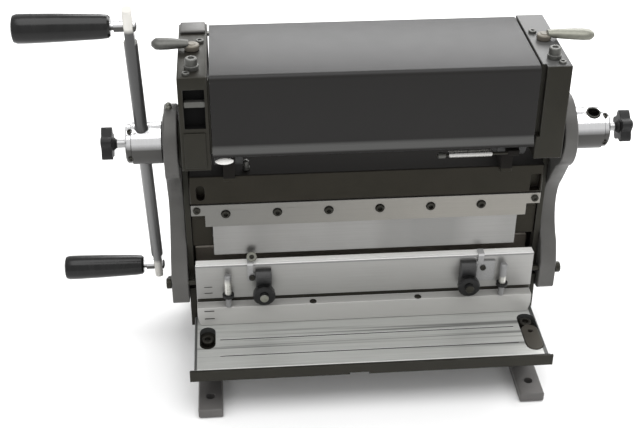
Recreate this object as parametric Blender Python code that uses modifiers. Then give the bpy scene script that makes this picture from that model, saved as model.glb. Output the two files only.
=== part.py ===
"""Three-in-one bench machine for sheet metal: shear, brake and slip rolls on one frame.

Machine coordinates: X = 0 on the centre plane, Y = 0 on the front of the blade clamp strip
with +Y to the back, Z = 0 on the bench. The datum empty carries everything and puts the
origin under the centre of the bounding box. Lengths are written in millimetres through MM.
"""

import math

import bmesh
import bpy
from mathutils import Matrix, Vector

MM = 0.001
GAP = 0.3                       # between pieces that touch

# Main shaft, cranks and ram stroke
SHAFT_Y = 3.5
SHAFT_Z = 261.0
SHAFT_R = 14.0
CRANK_THROW = 13.5
CRANK_PIN_R = 9.0
CRANK_WEB_R = 23.0
CRANK_X = 134.0                 # middle of each crank pin
CRANK_PIN_W = 13.0
CRANK_WEB_W = 7.0
SHAFT_END = 205.0

# Side frames
FRAME_IN = 179.5
FRAME_OUT = 196.5
LOBE_R = 36.0
BUSH_R = 18.0
BUSH_LENGTH = 12.2
DRAFT_LOW = 95.0                # the outer face leans inwards above this height
DRAFT = 4.0                     # lean at shaft height

# Base, table and feet
TABLE_FRONT = -82.3
TABLE_TOP = 53.7
TABLE_T = 6.7
TABLE_HALF = 175.6
RAIL_HALF = 180.0
RAIL_Z = 41.0
FOOT_T = 10.0
FOOT_X = 161.5
FOOT_W = 24.5
FOOT_FRONT = -92.4
FOOT_BACK = 118.0
FOOT_HOLE_R = 4.5
BLOCK_FRONT = 5.6
BLOCK_BACK = 62.0
BLOCK_TOP = 88.0
RAIL_T = 2.0
RAIL_LEDGE = 9.0                # depth of the rail under the table
RAIL_DROP = 0.6                 # rail's top below the table's
RAIL_NOTCH = (-23.0, -4.0, 2.2)         # x from, x to, height
LEG_HALF = 10.5
LEG_Y = (-34.0, 100.0)
FOOT_HOLE_IN = (21.0, 9.0)      # hole centres from the front and back ends
SLOT_HALF = 8.0
LEFT_SLOT = (-162.5, -51.0, -15.5)      # x, near end, far end
RIGHT_SLOT = (165.0, -76.0, -16.5)
RIGHT_SLOT_HALF = 9.2
TABLE_SCREWS = {"left": (-162.5, -33.0), "right": (164.5, -27.5)}
GROOVES_Y = (-37.0, -62.6)
GROOVE_HALF = 150.0
GROOVE_W = 1.6
GROOVE_DEEP = 1.0
TABLE_SCREW_R = 6.4
TABLE_SCREW_H = 5.4
STOP_HOLE_Y = -46.0
STOP_HOLE_R = 2.6
STOP_SHORT = 19.5               # slot left open behind the block
STOP_PROUD = 0.9                # block above the table

# Bed beam and blades
BEAM_HALF = 172.0
BEAM_FRONT = -4.9
BEAM_BACK = 5.0
BEAM_TOP = 122.7
LEDGE_FRONT = -13.0
LEDGE_TOP = 76.0
GROOVE_TOP = 82.0
BEAM_UNDERCUT = 2.5
BEAM_CORNER_TILT = math.radians(14)
BLADE_HALF = 152.5
BLADE_T = 6.0
BLADE_LOW = 128.6
STRIP_T = 5.0
STRIP_HALF = 159.2
TAB_HALF = 172.6
STRIP_LOW = 166.0
STRIP_TOP = 191.0
TAB_LOW = 179.0
SCREW_PITCH = 50.5
SCREW_SHIFT = -12.7
SCREW_Z = 180.4
SCREW_COUNT = 6
SCREW_HOLE_R = 4.6
BLADE_SEAT = 104.0              # foot of the lower blade's rebate in the beam
DIE_Y = 42.0
DIE_HALF = 12.0
DIE_TOP = 121.0
DIE_LAND = 4.0                  # flat beside the vee
PUNCH_TIP = 130.2
PUNCH_HALF = 3.5
PUNCH_NOSE = (0.6, 9.8)         # half width of the nose, height of the taper

# Ram
RAM_HALF = 173.0
RAM_BACK = 48.0
RAM_LOW = 168.0
RAM_TOP = 223.5
YOKE_TOP = 277.0
GUIDE_LOW = 90.0
GUIDE_HIGH = 228.0
TONGUE_Y = (21.0, 33.0)
GUIDE_Y = (10.0, 44.0)
TONGUE_DEPTH = 3.6
LUG_IN = 153.5
LUG_Y = (13.0, 27.0)
LUG_LOW = 136.0
YOKE_HALF = 5.5
YOKE_Y = (-21.0, 16.0)          # from the crank pin's axis
YOKE_SLOT_Y = (-15.0, 9.8)
YOKE_SLOT_PLAY = 0.7
POCKET = (-162.5, 196.5, 213.5)         # x, low end, high end
POCKET_HALF = 4.2
RAM_WINDOW = ((160.5, -4.0, 194.0), (170.8, 8.0, 213.0))

# Rolls and roll brackets
ROLL_R = 14.0
ROLL_Y = -20.0
UPPER_ROLL_Z = 328.0
LOWER_ROLL_Z = 299.0
REAR_ROLL_Y = 11.0
REAR_ROLL_Z = 304.0
JOURNAL_R = 7.0
BRACKET_IN = 149.5
BRACKET_OUT = 176.0
BRACKET_TOP = 347.0
BRACKET_FRONT = -38.0
BRACKET_LOW = 252.5
PAD_R = 25.0
BRACKET_BACK = ((79.0, 290.0), (84.0, 284.0), (84.0, 262.0), (40.0, BRACKET_LOW))
PIVOT_HOLE_R = 3.4
LEFT_RECESS = ((-171.5, -42.0, 296.0), (-152.5, -31.0, 335.0))
RIGHT_REBATE = (3.6, 6.0, 276.0)        # width, depth, lower end
GEAR_TEETH = 14
GEAR_WIDTH = 9.0
GEAR_X = -142.5
GEAR_ROOT = 1.15                # root and tip from the pitch circle, in modules
GEAR_TIP = 0.55
TOOTH_FLANKS = (0.28, 0.1)      # half widths at root and tip, in tooth steps
JOURNAL_PLAY = 0.4
JOURNAL_REACH = 16.0
ROLL_CLEAR = 2.0

# Cover
COVER_HALF = 147.7
COVER_BACK = 77.0
COVER_LOW = 274.5
COVER_LIP = (4.5, 6.5)          # forwards, down
COVER_BACK_LOW = 292.0
COVER_FOLD_R = 4.0
SHEET = 1.5
KNUCKLE_R = 4.8
KNUCKLE_X = 100.0
KNUCKLE_HALF = 20.0
HINGE_ROD_R = 2.5
HINGE_Y = COVER_BACK - SHEET - GAP - KNUCKLE_R
HINGE_Z = BRACKET_TOP - GAP - SHEET - GAP - KNUCKLE_R

# Hubs, levers, grips and lock knobs
HUB_IN = 194.2
HUB_OUT = 228.4
HUB_R = 20.0
LEVER_X = 213.0
LEVER_TILT = math.radians(16.7)
ROD_R = 6.0
UPPER_ROD = 160.0
LOWER_ROD = 200.0
UPPER_GRIP_AT = 142.0
LOWER_GRIP_AT = 184.0
GRIP_IN = 228.0
GRIP_LENGTH = 82.0
GRIP_R = 12.6
GRIP_CROWN = 11.0               # solid end of the grip beyond its bore
SPINDLE_R = 3.4
SPINDLE_COLLAR = 8.0
SPINDLE_COLLAR_R = 5.0
KNOB_IN = 241.0
KNOB_OUT = 251.0
KNOB_R = 16.0
KNOB_LOBES = 5
KNOB_WAVE = 2.4
KNOB_POINTS = 40
HUB_RIM = 1.5                   # step of the hub's outer rim
HUB_THREAD_R = 4.4
HUB_THREAD_DEEP = 6.5
ROD_FLAT_X = 8.0                # centre of the flat's cutter from the rod's axis
ROD_FLAT_HALF = (4.0, 12.0, 21.0)
ROD_FLAT_SHIFT = 3.0

# Smaller pieces
CLAMP_X = 104.0
CLAMP_WIDTH = 16.0
CLAMP_FRONT = -14.0
CLAMP_LOW = 86.0
CLAMP_TOP = 117.0
CLAMP_KNOB_Z = 94.0
STRAP_X = (10.0, 16.0)          # from the clamp's middle, outwards
STRAP_T = 2.6
PIN_X = 140.0
TOE_BOLT_Z = 100.0
TOE_BOLT_R = 3.0
TOE_BOLT_REACH = 42.0
CLAMP_SLOPE = (4.0, 5.0)
STRAP_LOW = 104.0
STRAP_HOOK = 1.5                # y of the hook's end
PLATES = {"left": (16.0, 105.0, 112.0), "right": (28.0, 92.0, 116.0)}    # reach, low, high
THUMB_BORE_R = 3.4
PIN_Y = -11.2
LEVER_PIVOT_X = 163.0
LEVER_PIVOT_Y = 20.0
LEVER_EYE_R = 8.5
LEVER_TIP_R = 6.0
LEVER_H = 10.0
LEVER_STEM_R = 3.0
LEVER_STEM_DEEP = 7.0
LEVER_REACH = {"left": 34.0, "right": 46.0}

# Edge roundings
ROUND = {
    "foot": 1.2, "table": 0.6, "stop": 0.9, "beam": 0.5, "blade": 0.3, "die": 0.5, "frame": 1.6,
    "ram": 1.0, "strip": 0.6, "knob": 1.6, "bracket": 1.4, "lever": 1.6, "clamp": 0.8,
}

# Turned profiles: (radius, height) pairs down the outer side
TOE_BOLT_PROFILE = [(0.0, 5.0), (4.6, 5.0), (5.6, 4.2), (5.6, 0.0), (TOE_BOLT_R, 0.0),
                    (TOE_BOLT_R, -TOE_BOLT_REACH), (0.0, -TOE_BOLT_REACH)]
KNOB_STEM_PROFILE = [(0.0, 4.0), (5.6, 4.0), (7.0, 1.0), (6.2, -1.4), (4.2, -3.4), (4.0, -8.5),
                     (4.0, -17.0), (0.0, -17.0)]
GRIP_PROFILE = [(0.0, GRIP_LENGTH), (GRIP_R - 4.5, GRIP_LENGTH), (GRIP_R - 1.2, GRIP_LENGTH - 1.2),
                (GRIP_R, GRIP_LENGTH - 4.5), (GRIP_R, GRIP_LENGTH - 14.0),
                (GRIP_R - 0.5, GRIP_LENGTH * 0.55), (GRIP_R - 1.9, 8.0), (GRIP_R - 2.6, 2.0),
                (GRIP_R - 4.4, 0.0), (SPINDLE_R + 0.4, 0.0), (SPINDLE_R + 0.4, GRIP_LENGTH - GRIP_CROWN),
                (0.0, GRIP_LENGTH - GRIP_CROWN)]
ROLL_SCREW_PROFILE = [(0.0, 9.0), (2.6, 9.0), (3.0, 10.5), (4.8, 10.5), (5.6, 9.7), (5.6, 4.0),
                      (6.6, 3.6), (6.6, 0.0), (3.0, 0.0), (3.0, -7.0), (0.0, -7.0)]
THUMB_SCREW_PROFILE = [(0.0, 10.5), (3.4, 10.5), (4.0, 9.5), (4.4, 8.0), (10.0, 8.0), (11.3, 7.0),
                       (11.3, 1.5), (10.4, 0.6), (6.0, 0.0), (3.0, 0.0), (3.0, -8.6), (0.0, -8.6)]
GAUGE_PIN_PROFILE = [(0.0, 38.7), (2.6, 38.7), (3.8, 37.5), (3.8, 15.2), (6.0, 15.2), (6.0, 12.2),
                     (3.0, 12.2), (3.0, 0.0), (0.0, 0.0)]

# Side frame outline, (y, z): throat and toe, then the rear leg
FRAME_HEAD = (15.0, 242.0, 18)          # from, to in degrees, steps
FRAME_THROAT = ((-32.0, 168.0), 50.0, 42.0, -48.0, 8)
FRAME_TOE = [(-5.5, 110.0), (-5.5, 80.0), (-3.0, 77.0), (12.0, 73.0)]
FRAME_LEG = [(60.0, 42.0), (100.0, 20.0), (108.0, 22.0), (108.0, 58.0), (92.0, 130.0), (80.0, 196.0)]

OFFSET_X = (GRIP_IN + GRIP_LENGTH - KNOB_OUT) / 2
OFFSET_Y = -(FOOT_FRONT + FOOT_BACK) / 2

FACE_X = (math.pi / 2, 0.0, math.pi / 2)      # outline in YZ, thickness along X
FACE_Y = (math.pi / 2, 0.0, 0.0)              # outline in XZ, thickness along Y
FACE_Z = (0.0, 0.0, 0.0)                      # outline in XY, thickness along Z
SIDES = {"left": -1, "right": 1}

PAINT = ((0.045, 0.043, 0.040), 0.0, 0.45)
COVER_PAINT = ((0.055, 0.054, 0.055), 0.0, 0.4)
STEEL = ((0.42, 0.42, 0.41), 1.0, 0.35)
CHROME = ((0.75, 0.75, 0.76), 1.0, 0.12)
ROD_STEEL = ((0.35, 0.35, 0.33), 1.0, 0.3)
BLACK = ((0.02, 0.02, 0.02), 0.0, 0.3)
OXIDE = ((0.03, 0.03, 0.03), 0.6, 0.45)
BRONZE = ((0.45, 0.28, 0.12), 1.0, 0.35)
ZINC = ((0.5, 0.5, 0.46), 1.0, 0.35)


def clear_scene():
    for item in list(bpy.data.objects):
        bpy.data.objects.remove(item, do_unlink=True)


def new_collection(name):
    group = bpy.data.collections.new(name)
    bpy.context.scene.collection.children.link(group)
    return group


def paint(item, finish):
    colour, metallic, roughness = finish
    material = bpy.data.materials.new(item.name + "_finish")
    material.use_nodes = True
    shader = material.node_tree.nodes["Principled BSDF"]
    shader.inputs["Base Color"].default_value = (*colour, 1.0)
    shader.inputs["Metallic"].default_value = metallic
    shader.inputs["Roughness"].default_value = roughness
    item.data.materials.append(material)


def place(item, finish, location, rotation=(0.0, 0.0, 0.0)):
    """Links a piece, hangs it on the datum and gives it its finish; a cutter has none."""
    item.parent = DATUM
    item.location = [value * MM for value in location]
    item.rotation_euler = rotation
    if finish is None:
        CUTTERS.objects.link(item)
        item.hide_render = True
        item.display_type = "WIRE"
    else:
        PARTS.objects.link(item)
        paint(item, finish)
    return item


def smooth(mesh):
    mesh.shade_smooth()
    mesh.set_sharp_from_angle(angle=math.radians(35))


def box(name, low, high, finish=None):
    """Box between two corners in machine coordinates; its origin is its centre."""
    size = [b - a for a, b in zip(low, high)]
    middle = [(a + b) / 2 for a, b in zip(low, high)]
    cage = bmesh.new()
    bmesh.ops.create_cube(cage, size=1.0, matrix=Matrix.Diagonal([s * MM for s in size] + [1.0]))
    mesh = bpy.data.meshes.new(name)
    cage.to_mesh(mesh)
    cage.free()
    return place(bpy.data.objects.new(name, mesh), finish, middle)


def rod(name, radius, start, end, finish=None, sides=24):
    """Plain cylinder from one point to another; its origin is its middle."""
    axis = Vector(end) - Vector(start)
    middle = (Vector(start) + Vector(end)) / 2
    cage = bmesh.new()
    bmesh.ops.create_cone(
        cage, cap_ends=True, segments=sides, radius1=radius * MM, radius2=radius * MM,
        depth=axis.length * MM,
    )
    mesh = bpy.data.meshes.new(name)
    cage.to_mesh(mesh)
    cage.free()
    smooth(mesh)
    turn = Vector((0, 0, 1)).rotation_difference(axis).to_euler()
    return place(bpy.data.objects.new(name, mesh), finish, middle, turn)


def outline(name, loops, thickness, pivot, facing, finish=None):
    """Plate with the given outlines, first the edge and then any holes, welded to a mesh."""
    curve = bpy.data.curves.new(name, "CURVE")
    curve.dimensions = "2D"
    curve.fill_mode = "BOTH"
    curve.extrude = thickness * MM / 2
    for points in loops:
        spline = curve.splines.new("POLY")
        spline.points.add(len(points) - 1)
        for point, (u, v) in zip(spline.points, points):
            point.co = (u * MM, v * MM, 0.0, 1.0)
        spline.use_cyclic_u = True
    flat = bpy.data.objects.new(name + "_curve", curve)
    bpy.context.scene.collection.objects.link(flat)
    graph = bpy.context.evaluated_depsgraph_get()
    mesh = bpy.data.meshes.new_from_object(flat.evaluated_get(graph))
    mesh.name = name
    bpy.data.objects.remove(flat, do_unlink=True)
    cage = bmesh.new()
    cage.from_mesh(mesh)
    bmesh.ops.remove_doubles(cage, verts=cage.verts, dist=0.00001)
    bmesh.ops.recalc_face_normals(cage, faces=cage.faces)
    cage.to_mesh(mesh)
    cage.free()
    mesh.materials.clear()
    smooth(mesh)
    return place(bpy.data.objects.new(name, mesh), finish, pivot, facing)


def turned(name, profile, location, rotation, finish=None, sides=28, ring=False):
    """Turned piece: (radius, height) pairs run down the outer side, top to bottom."""
    mesh = bpy.data.meshes.new(name)
    count = len(profile)
    edges = [(i, i + 1) for i in range(count - 1)]
    if ring:
        edges.append((count - 1, 0))
    mesh.from_pydata([(r * MM, 0.0, z * MM) for r, z in profile], edges, [])
    item = place(bpy.data.objects.new(name, mesh), finish, location, rotation)
    screw = item.modifiers.new("Turn", "SCREW")
    screw.steps = sides
    screw.render_steps = sides
    screw.use_merge_vertices = True
    screw.merge_threshold = 0.00001
    screw.use_smooth_shade = True
    return item


def bevel(item, width, segments=1):
    rounding = item.modifiers.new("Bevel", "BEVEL")
    rounding.width = width * MM
    rounding.segments = segments
    rounding.limit_method = "ANGLE"
    rounding.angle_limit = math.radians(40)


def combine(item, others, operation):
    for other in others:
        step = item.modifiers.new(operation.title(), "BOOLEAN")
        step.operation = operation
        step.solver = "EXACT"
        step.object = other


def cut(item, others):
    combine(item, others, "DIFFERENCE")


def join(item, others):
    combine(item, others, "UNION")


def arc(centre, radius, start, end, steps):
    """Points of a round stretch, from one angle to another in degrees."""
    points = []
    for i in range(steps + 1):
        angle = math.radians(start + (end - start) * i / steps)
        points.append((centre[0] + radius * math.cos(angle), centre[1] + radius * math.sin(angle)))
    return points


def axis_x(side):
    """Rotation that lays a turned piece's height along X, pointing outwards on that side."""
    return (0.0, side * math.pi / 2, 0.0)


def socket_head(name, radius, height, location, rotation, finish):
    """Socket-head screw: a chamfered cylinder with a round recess in its face."""
    profile = [(0.0, height - radius * 0.6), (radius * 0.5, height - radius * 0.6),
               (radius * 0.55, height), (radius * 0.88, height), (radius, height - radius * 0.12),
               (radius, 0.0), (0.0, 0.0)]
    return turned(name, profile, location, rotation, finish, sides=12)


def base_casting():
    block = box("base_casting", (-FRAME_IN + GAP, BLOCK_FRONT, RAIL_Z),
                (FRAME_IN - GAP, BLOCK_BACK, BLOCK_TOP), PAINT)
    seat = TABLE_TOP - TABLE_T - GAP
    inset = 0.4
    plate = box("base_plate", (-TABLE_HALF + inset, TABLE_FRONT - 1.0, RAIL_Z + inset),
                (TABLE_HALF - inset, 12.0, seat))
    lip = TABLE_FRONT - GAP
    ledge = lip + RAIL_LEDGE
    rail_points = [(lip - RAIL_T, RAIL_Z), (lip - RAIL_T, TABLE_TOP - RAIL_DROP),
                   (lip, TABLE_TOP - RAIL_DROP), (lip, seat - 0.5), (ledge, seat - 0.5),
                   (ledge, RAIL_Z)]
    rail = outline("base_rail", [rail_points], 2 * RAIL_HALF, (0, 0, 0), FACE_X)
    legs = []
    for word, side in SIDES.items():
        ends = sorted((side * (FOOT_X - LEG_HALF), side * (FOOT_X + LEG_HALF)))
        legs.append(box("base_leg_" + word, (ends[0], LEG_Y[0], FOOT_T + GAP),
                        (ends[1], LEG_Y[1], RAIL_Z + 4.0)))
    join(block, [plate, rail] + legs)
    start, end, height = RAIL_NOTCH
    notch = box("rail_notch", (start, lip - 2 * RAIL_T, RAIL_Z - 1.0),
                (end, ledge + 3.0, RAIL_Z + height))
    cut(block, [notch])


def foot_bars():
    for word, side in SIDES.items():
        x = side * FOOT_X
        bar = box(word + "_foot_bar", (x - FOOT_W / 2, FOOT_FRONT, 0.0),
                  (x + FOOT_W / 2, FOOT_BACK, FOOT_T), PAINT)
        bevel(bar, ROUND["foot"])
        spots = (FOOT_FRONT + FOOT_HOLE_IN[0], FOOT_BACK - FOOT_HOLE_IN[1])
        holes = [rod(word + "_foot_hole_" + str(i), FOOT_HOLE_R, (x, y, -2), (x, y, FOOT_T + 2),
                     sides=16)
                 for i, y in enumerate(spots)]
        cut(bar, holes)


def slot_points(x, near, far, half):
    """Outline of an oval slot along Y."""
    return (arc((x, near + half), half, 180, 360, 8) + arc((x, far - half), half, 0, 180, 8))


def work_table():
    table = box("work_table", (-TABLE_HALF, TABLE_FRONT, TABLE_TOP - TABLE_T),
                (TABLE_HALF, BLOCK_FRONT - 3.0, TABLE_TOP), STEEL)
    bevel(table, ROUND["table"])
    middle = TABLE_TOP - TABLE_T / 2
    slots = [
        outline("left_slot", [slot_points(*LEFT_SLOT, SLOT_HALF)], 2 * TABLE_T, (0, 0, middle), FACE_Z),
        outline("right_slot", [slot_points(*RIGHT_SLOT, RIGHT_SLOT_HALF)], 2 * TABLE_T,
                (0, 0, middle), FACE_Z),
    ]
    reach = GROOVE_W / 2
    grooves = [box("table_groove_" + str(i), (-GROOVE_HALF, y - reach, TABLE_TOP - GROOVE_DEEP),
                   (GROOVE_HALF, y + reach, TABLE_TOP + GROOVE_DEEP))
               for i, y in enumerate(GROOVES_Y)]
    cut(table, slots + grooves)
    for word, (x, y) in TABLE_SCREWS.items():
        socket_head(word + "_table_screw", TABLE_SCREW_R, TABLE_SCREW_H,
                    (x, y, TABLE_TOP - TABLE_T), FACE_Z, OXIDE)
    x, near, far = RIGHT_SLOT
    play = 2 * GAP
    height = TABLE_T - GAP + STOP_PROUD
    edge = slot_points(x, near + play, far - STOP_SHORT, RIGHT_SLOT_HALF - play)
    hole = arc((x, STOP_HOLE_Y), STOP_HOLE_R, 360, 36, 9)
    stop = outline("right_slot_block", [edge, hole], height,
                   (0, 0, TABLE_TOP - TABLE_T + GAP + height / 2), FACE_Z, PAINT)
    bevel(stop, ROUND["stop"])


def bed_beam():
    rebate = BEAM_BACK - BLADE_T
    web = BEAM_FRONT + BEAM_UNDERCUT
    points = [(LEDGE_FRONT, TABLE_TOP + GAP), (LEDGE_FRONT, LEDGE_TOP), (web, LEDGE_TOP),
              (web, GROOVE_TOP), (BEAM_FRONT, GROOVE_TOP), (BEAM_FRONT, BEAM_TOP),
              (rebate - GAP, BEAM_TOP), (rebate - GAP, BLADE_SEAT), (BEAM_BACK, BLADE_SEAT),
              (BEAM_BACK, TABLE_TOP + GAP)]
    beam = outline("bed_beam", [points], 2 * BEAM_HALF, (0, 0, 0), FACE_X, STEEL)
    bevel(beam, ROUND["beam"])
    cutters = []
    for word, side in SIDES.items():
        cutters.append(rod(word + "_toe_bolt_seat", TOE_BOLT_R + GAP,
                           (side * (BEAM_HALF - 20), 0, TOE_BOLT_Z),
                           (side * (BEAM_HALF + 6), 0, TOE_BOLT_Z), sides=16))
        middle = side * (BEAM_HALF + 6.0)
        corner = box(word + "_beam_corner", (middle - 9.0, -20.0, 30.0), (middle + 9.0, 20.0, 74.0))
        corner.rotation_euler.y = side * BEAM_CORNER_TILT
        cutters.append(corner)
    cut(beam, cutters)
    blade = box("lower_shear_blade", (-BEAM_HALF + 0.5, rebate, BLADE_SEAT + GAP),
                (BEAM_HALF - 0.5, BEAM_BACK, BEAM_TOP), STEEL)
    bevel(blade, ROUND["blade"])
    vee = DIE_HALF - DIE_LAND
    foot = BLOCK_TOP + GAP
    v_points = [(DIE_Y - DIE_HALF, foot), (DIE_Y - DIE_HALF, DIE_TOP), (DIE_Y - vee, DIE_TOP),
                (DIE_Y, DIE_TOP - vee), (DIE_Y + vee, DIE_TOP), (DIE_Y + DIE_HALF, DIE_TOP),
                (DIE_Y + DIE_HALF, foot)]
    die = outline("brake_v_die", [v_points], 2 * BEAM_HALF, (0, 0, 0), FACE_X, OXIDE)
    bevel(die, ROUND["die"])


def frame_points():
    """Side frame seen from +X: round head, open throat, toe and rear leg."""
    head = arc((SHAFT_Y, SHAFT_Z), LOBE_R, *FRAME_HEAD)
    return head + arc(*FRAME_THROAT) + FRAME_TOE + FRAME_LEG


def draft_cutter(word, side):
    """Big wedge that leans the frame's outer face inwards from the toe to the head."""
    lean = math.atan2(DRAFT, SHAFT_Z - DRAFT_LOW)
    half = 40.0
    reach = 400.0
    wedge = box(word + "_draft", (-half, -reach, -reach), (half, reach, reach))
    wedge.rotation_euler.y = -side * lean
    wedge.location.x = side * (FRAME_OUT + half / math.cos(lean)) * MM
    wedge.location.z = DRAFT_LOW * MM
    return wedge


def side_frames():
    thickness = FRAME_OUT - FRAME_IN
    for word, side in SIDES.items():
        x = side * (FRAME_IN + FRAME_OUT) / 2
        plate = outline(word + "_side_frame", [frame_points()], thickness, (x, 0, 0), FACE_X, PAINT)
        cut(plate, [draft_cutter(word, side)])
        bevel(plate, ROUND["frame"])
        near = side * (FRAME_IN - 5)
        far = side * (FRAME_OUT + 5)
        bore = rod(word + "_bush_bore", BUSH_R + GAP, (near, SHAFT_Y, SHAFT_Z),
                   (far, SHAFT_Y, SHAFT_Z), sides=24)
        hole = rod(word + "_toe_hole", TOE_BOLT_R + GAP, (near, 0, TOE_BOLT_Z), (far, 0, TOE_BOLT_Z),
                   sides=16)
        cut(plate, [bore, hole])
        inner = SHAFT_R + GAP
        ring = [(inner, BUSH_LENGTH), (BUSH_R, BUSH_LENGTH), (BUSH_R, 0.0), (inner, 0.0)]
        turned(word + "_shaft_bush", ring, (side * FRAME_IN, SHAFT_Y, SHAFT_Z), axis_x(side),
               BRONZE, sides=20, ring=True)
        turned(word + "_toe_bolt", TOE_BOLT_PROFILE, (side * (FRAME_OUT + GAP), 0, TOE_BOLT_Z),
               axis_x(side), OXIDE, sides=12)


def ram_guides():
    inner = RAM_HALF + 2 * GAP
    outer = FRAME_IN - GAP
    deep = inner + TONGUE_DEPTH - 0.2
    front, back = GUIDE_Y
    near = TONGUE_Y[0] - 1.0
    far = TONGUE_Y[1] + 1.0
    half = [(inner, front), (outer, front), (outer, back), (inner, back), (inner, far), (deep, far),
            (deep, near), (inner, near)]
    for word, side in SIDES.items():
        points = [(side * x, y) for x, y in half]
        outline(word + "_ram_guide", [points], GUIDE_HIGH - GUIDE_LOW,
                (0, 0, (GUIDE_LOW + GUIDE_HIGH) / 2), FACE_Z, PAINT)


def ram():
    step = STRIP_T + GAP + BLADE_T + GAP
    shelf = STRIP_TOP + 1.0
    points = [(0.0, shelf), (0.0, RAM_TOP), (RAM_BACK, RAM_TOP), (RAM_BACK, RAM_LOW),
              (step, RAM_LOW), (step, shelf)]
    body = outline("ram", [points], 2 * RAM_HALF, (0, 0, 0), FACE_X, PAINT)
    bevel(body, ROUND["ram"])
    joined = []
    cutters = []
    pin_y = SHAFT_Y + CRANK_THROW
    for word, side in SIDES.items():
        tongue = sorted((side * (RAM_HALF - 3), side * (RAM_HALF + TONGUE_DEPTH)))
        joined.append(box(word + "_tongue", (tongue[0], TONGUE_Y[0], RAM_LOW + 1.0),
                          (tongue[1], TONGUE_Y[1], RAM_TOP - 2.0)))
        lug = sorted((side * LUG_IN, side * RAM_HALF))
        joined.append(box(word + "_lug", (lug[0], LUG_Y[0], LUG_LOW), (lug[1], LUG_Y[1], RAM_LOW + 4.0)))
        yoke = sorted((side * (CRANK_X - YOKE_HALF), side * (CRANK_X + YOKE_HALF)))
        joined.append(box(word + "_yoke", (yoke[0], pin_y + YOKE_Y[0], RAM_TOP - 4.0),
                          (yoke[1], pin_y + YOKE_Y[1], YOKE_TOP)))
        high = CRANK_PIN_R + YOKE_SLOT_PLAY
        cutters.append(box(word + "_yoke_window", (yoke[0] - 2, pin_y + YOKE_SLOT_Y[0], SHAFT_Z - high),
                           (yoke[1] + 2, pin_y + YOKE_SLOT_Y[1], SHAFT_Z + high)))
    cutters.append(outline("ram_pocket", [slot_points(*POCKET, POCKET_HALF)], 18.0, (0, 0, 0), FACE_Y))
    cutters.append(box("ram_window", *RAM_WINDOW))
    join(body, joined)
    cut(body, cutters)


def strip_points():
    """Clamp strip seen from the front: long bar with a shorter lower half."""
    return [(-STRIP_HALF, STRIP_LOW), (STRIP_HALF, STRIP_LOW), (STRIP_HALF, TAB_LOW),
            (TAB_HALF, TAB_LOW), (TAB_HALF, STRIP_TOP), (-TAB_HALF, STRIP_TOP),
            (-TAB_HALF, TAB_LOW), (-STRIP_HALF, TAB_LOW)]


def blades():
    loops = [strip_points()]
    for i in range(SCREW_COUNT):
        x = SCREW_SHIFT + (i - (SCREW_COUNT - 1) / 2) * SCREW_PITCH
        loops.append(arc((x, SCREW_Z), SCREW_HOLE_R, 360, 24, 14))
        socket_head("clamp_screw_" + str(i + 1), 4.2, 6.8, (x, STRIP_T - GAP, SCREW_Z), FACE_Y, OXIDE)
    strip = outline("blade_clamp_strip", loops, STRIP_T, (0, STRIP_T / 2, 0), FACE_Y, STEEL)
    bevel(strip, ROUND["strip"])
    front = STRIP_T + GAP
    blade = box("upper_shear_blade", (-BLADE_HALF, front, BLADE_LOW),
                (BLADE_HALF, front + BLADE_T, STRIP_TOP), STEEL)
    bevel(blade, ROUND["blade"])
    top = RAM_LOW - GAP
    nose, taper = PUNCH_NOSE
    shoulder = PUNCH_TIP + taper
    points = [(DIE_Y - PUNCH_HALF, top), (DIE_Y - PUNCH_HALF, shoulder), (DIE_Y - nose, PUNCH_TIP),
              (DIE_Y + nose, PUNCH_TIP), (DIE_Y + PUNCH_HALF, shoulder), (DIE_Y + PUNCH_HALF, top)]
    outline("brake_punch", [points], 2 * BLADE_HALF, (0, 0, 0), FACE_X, STEEL)


def shaft_rings():
    """Sections of the main shaft from -X to +X: (x, radius, offset of the centre along Y)."""
    inner = CRANK_X - CRANK_PIN_W / 2
    outer = CRANK_X + CRANK_PIN_W / 2
    half = [(SHAFT_END, SHAFT_R - 1.0, 0.0), (SHAFT_END - 1.0, SHAFT_R, 0.0),
            (outer + CRANK_WEB_W, SHAFT_R, 0.0), (outer + CRANK_WEB_W, CRANK_WEB_R, 0.0),
            (outer, CRANK_WEB_R, 0.0), (outer, CRANK_PIN_R, CRANK_THROW),
            (inner, CRANK_PIN_R, CRANK_THROW), (inner, CRANK_WEB_R, 0.0),
            (inner - CRANK_WEB_W, CRANK_WEB_R, 0.0), (inner - CRANK_WEB_W, SHAFT_R, 0.0)]
    left = [(-x, r, o) for x, r, o in half]
    return left + half[::-1]


def main_shaft():
    """The crankshaft, lofted through round sections that share one count of points."""
    sides = 24
    cage = bmesh.new()
    loops = []
    for x, radius, shift in shaft_rings():
        loop = []
        for i in range(sides):
            angle = 2 * math.pi * i / sides
            y = shift + radius * math.cos(angle)
            z = radius * math.sin(angle)
            loop.append(cage.verts.new((x * MM, y * MM, z * MM)))
        loops.append(loop)
    for near, far in zip(loops, loops[1:]):
        for i in range(sides):
            j = (i + 1) % sides
            cage.faces.new((near[i], near[j], far[j], far[i]))
    cage.faces.new(loops[0])
    cage.faces.new(loops[-1])
    bmesh.ops.recalc_face_normals(cage, faces=cage.faces)
    mesh = bpy.data.meshes.new("main_shaft")
    cage.to_mesh(mesh)
    cage.free()
    smooth(mesh)
    place(bpy.data.objects.new("main_shaft", mesh), STEEL, (0, SHAFT_Y, SHAFT_Z))


def lever_point(along):
    """Point on the lever line, measured from the shaft axis, positive upwards."""
    return (-LEVER_X, SHAFT_Y - along * math.sin(LEVER_TILT), SHAFT_Z + along * math.cos(LEVER_TILT))


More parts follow.
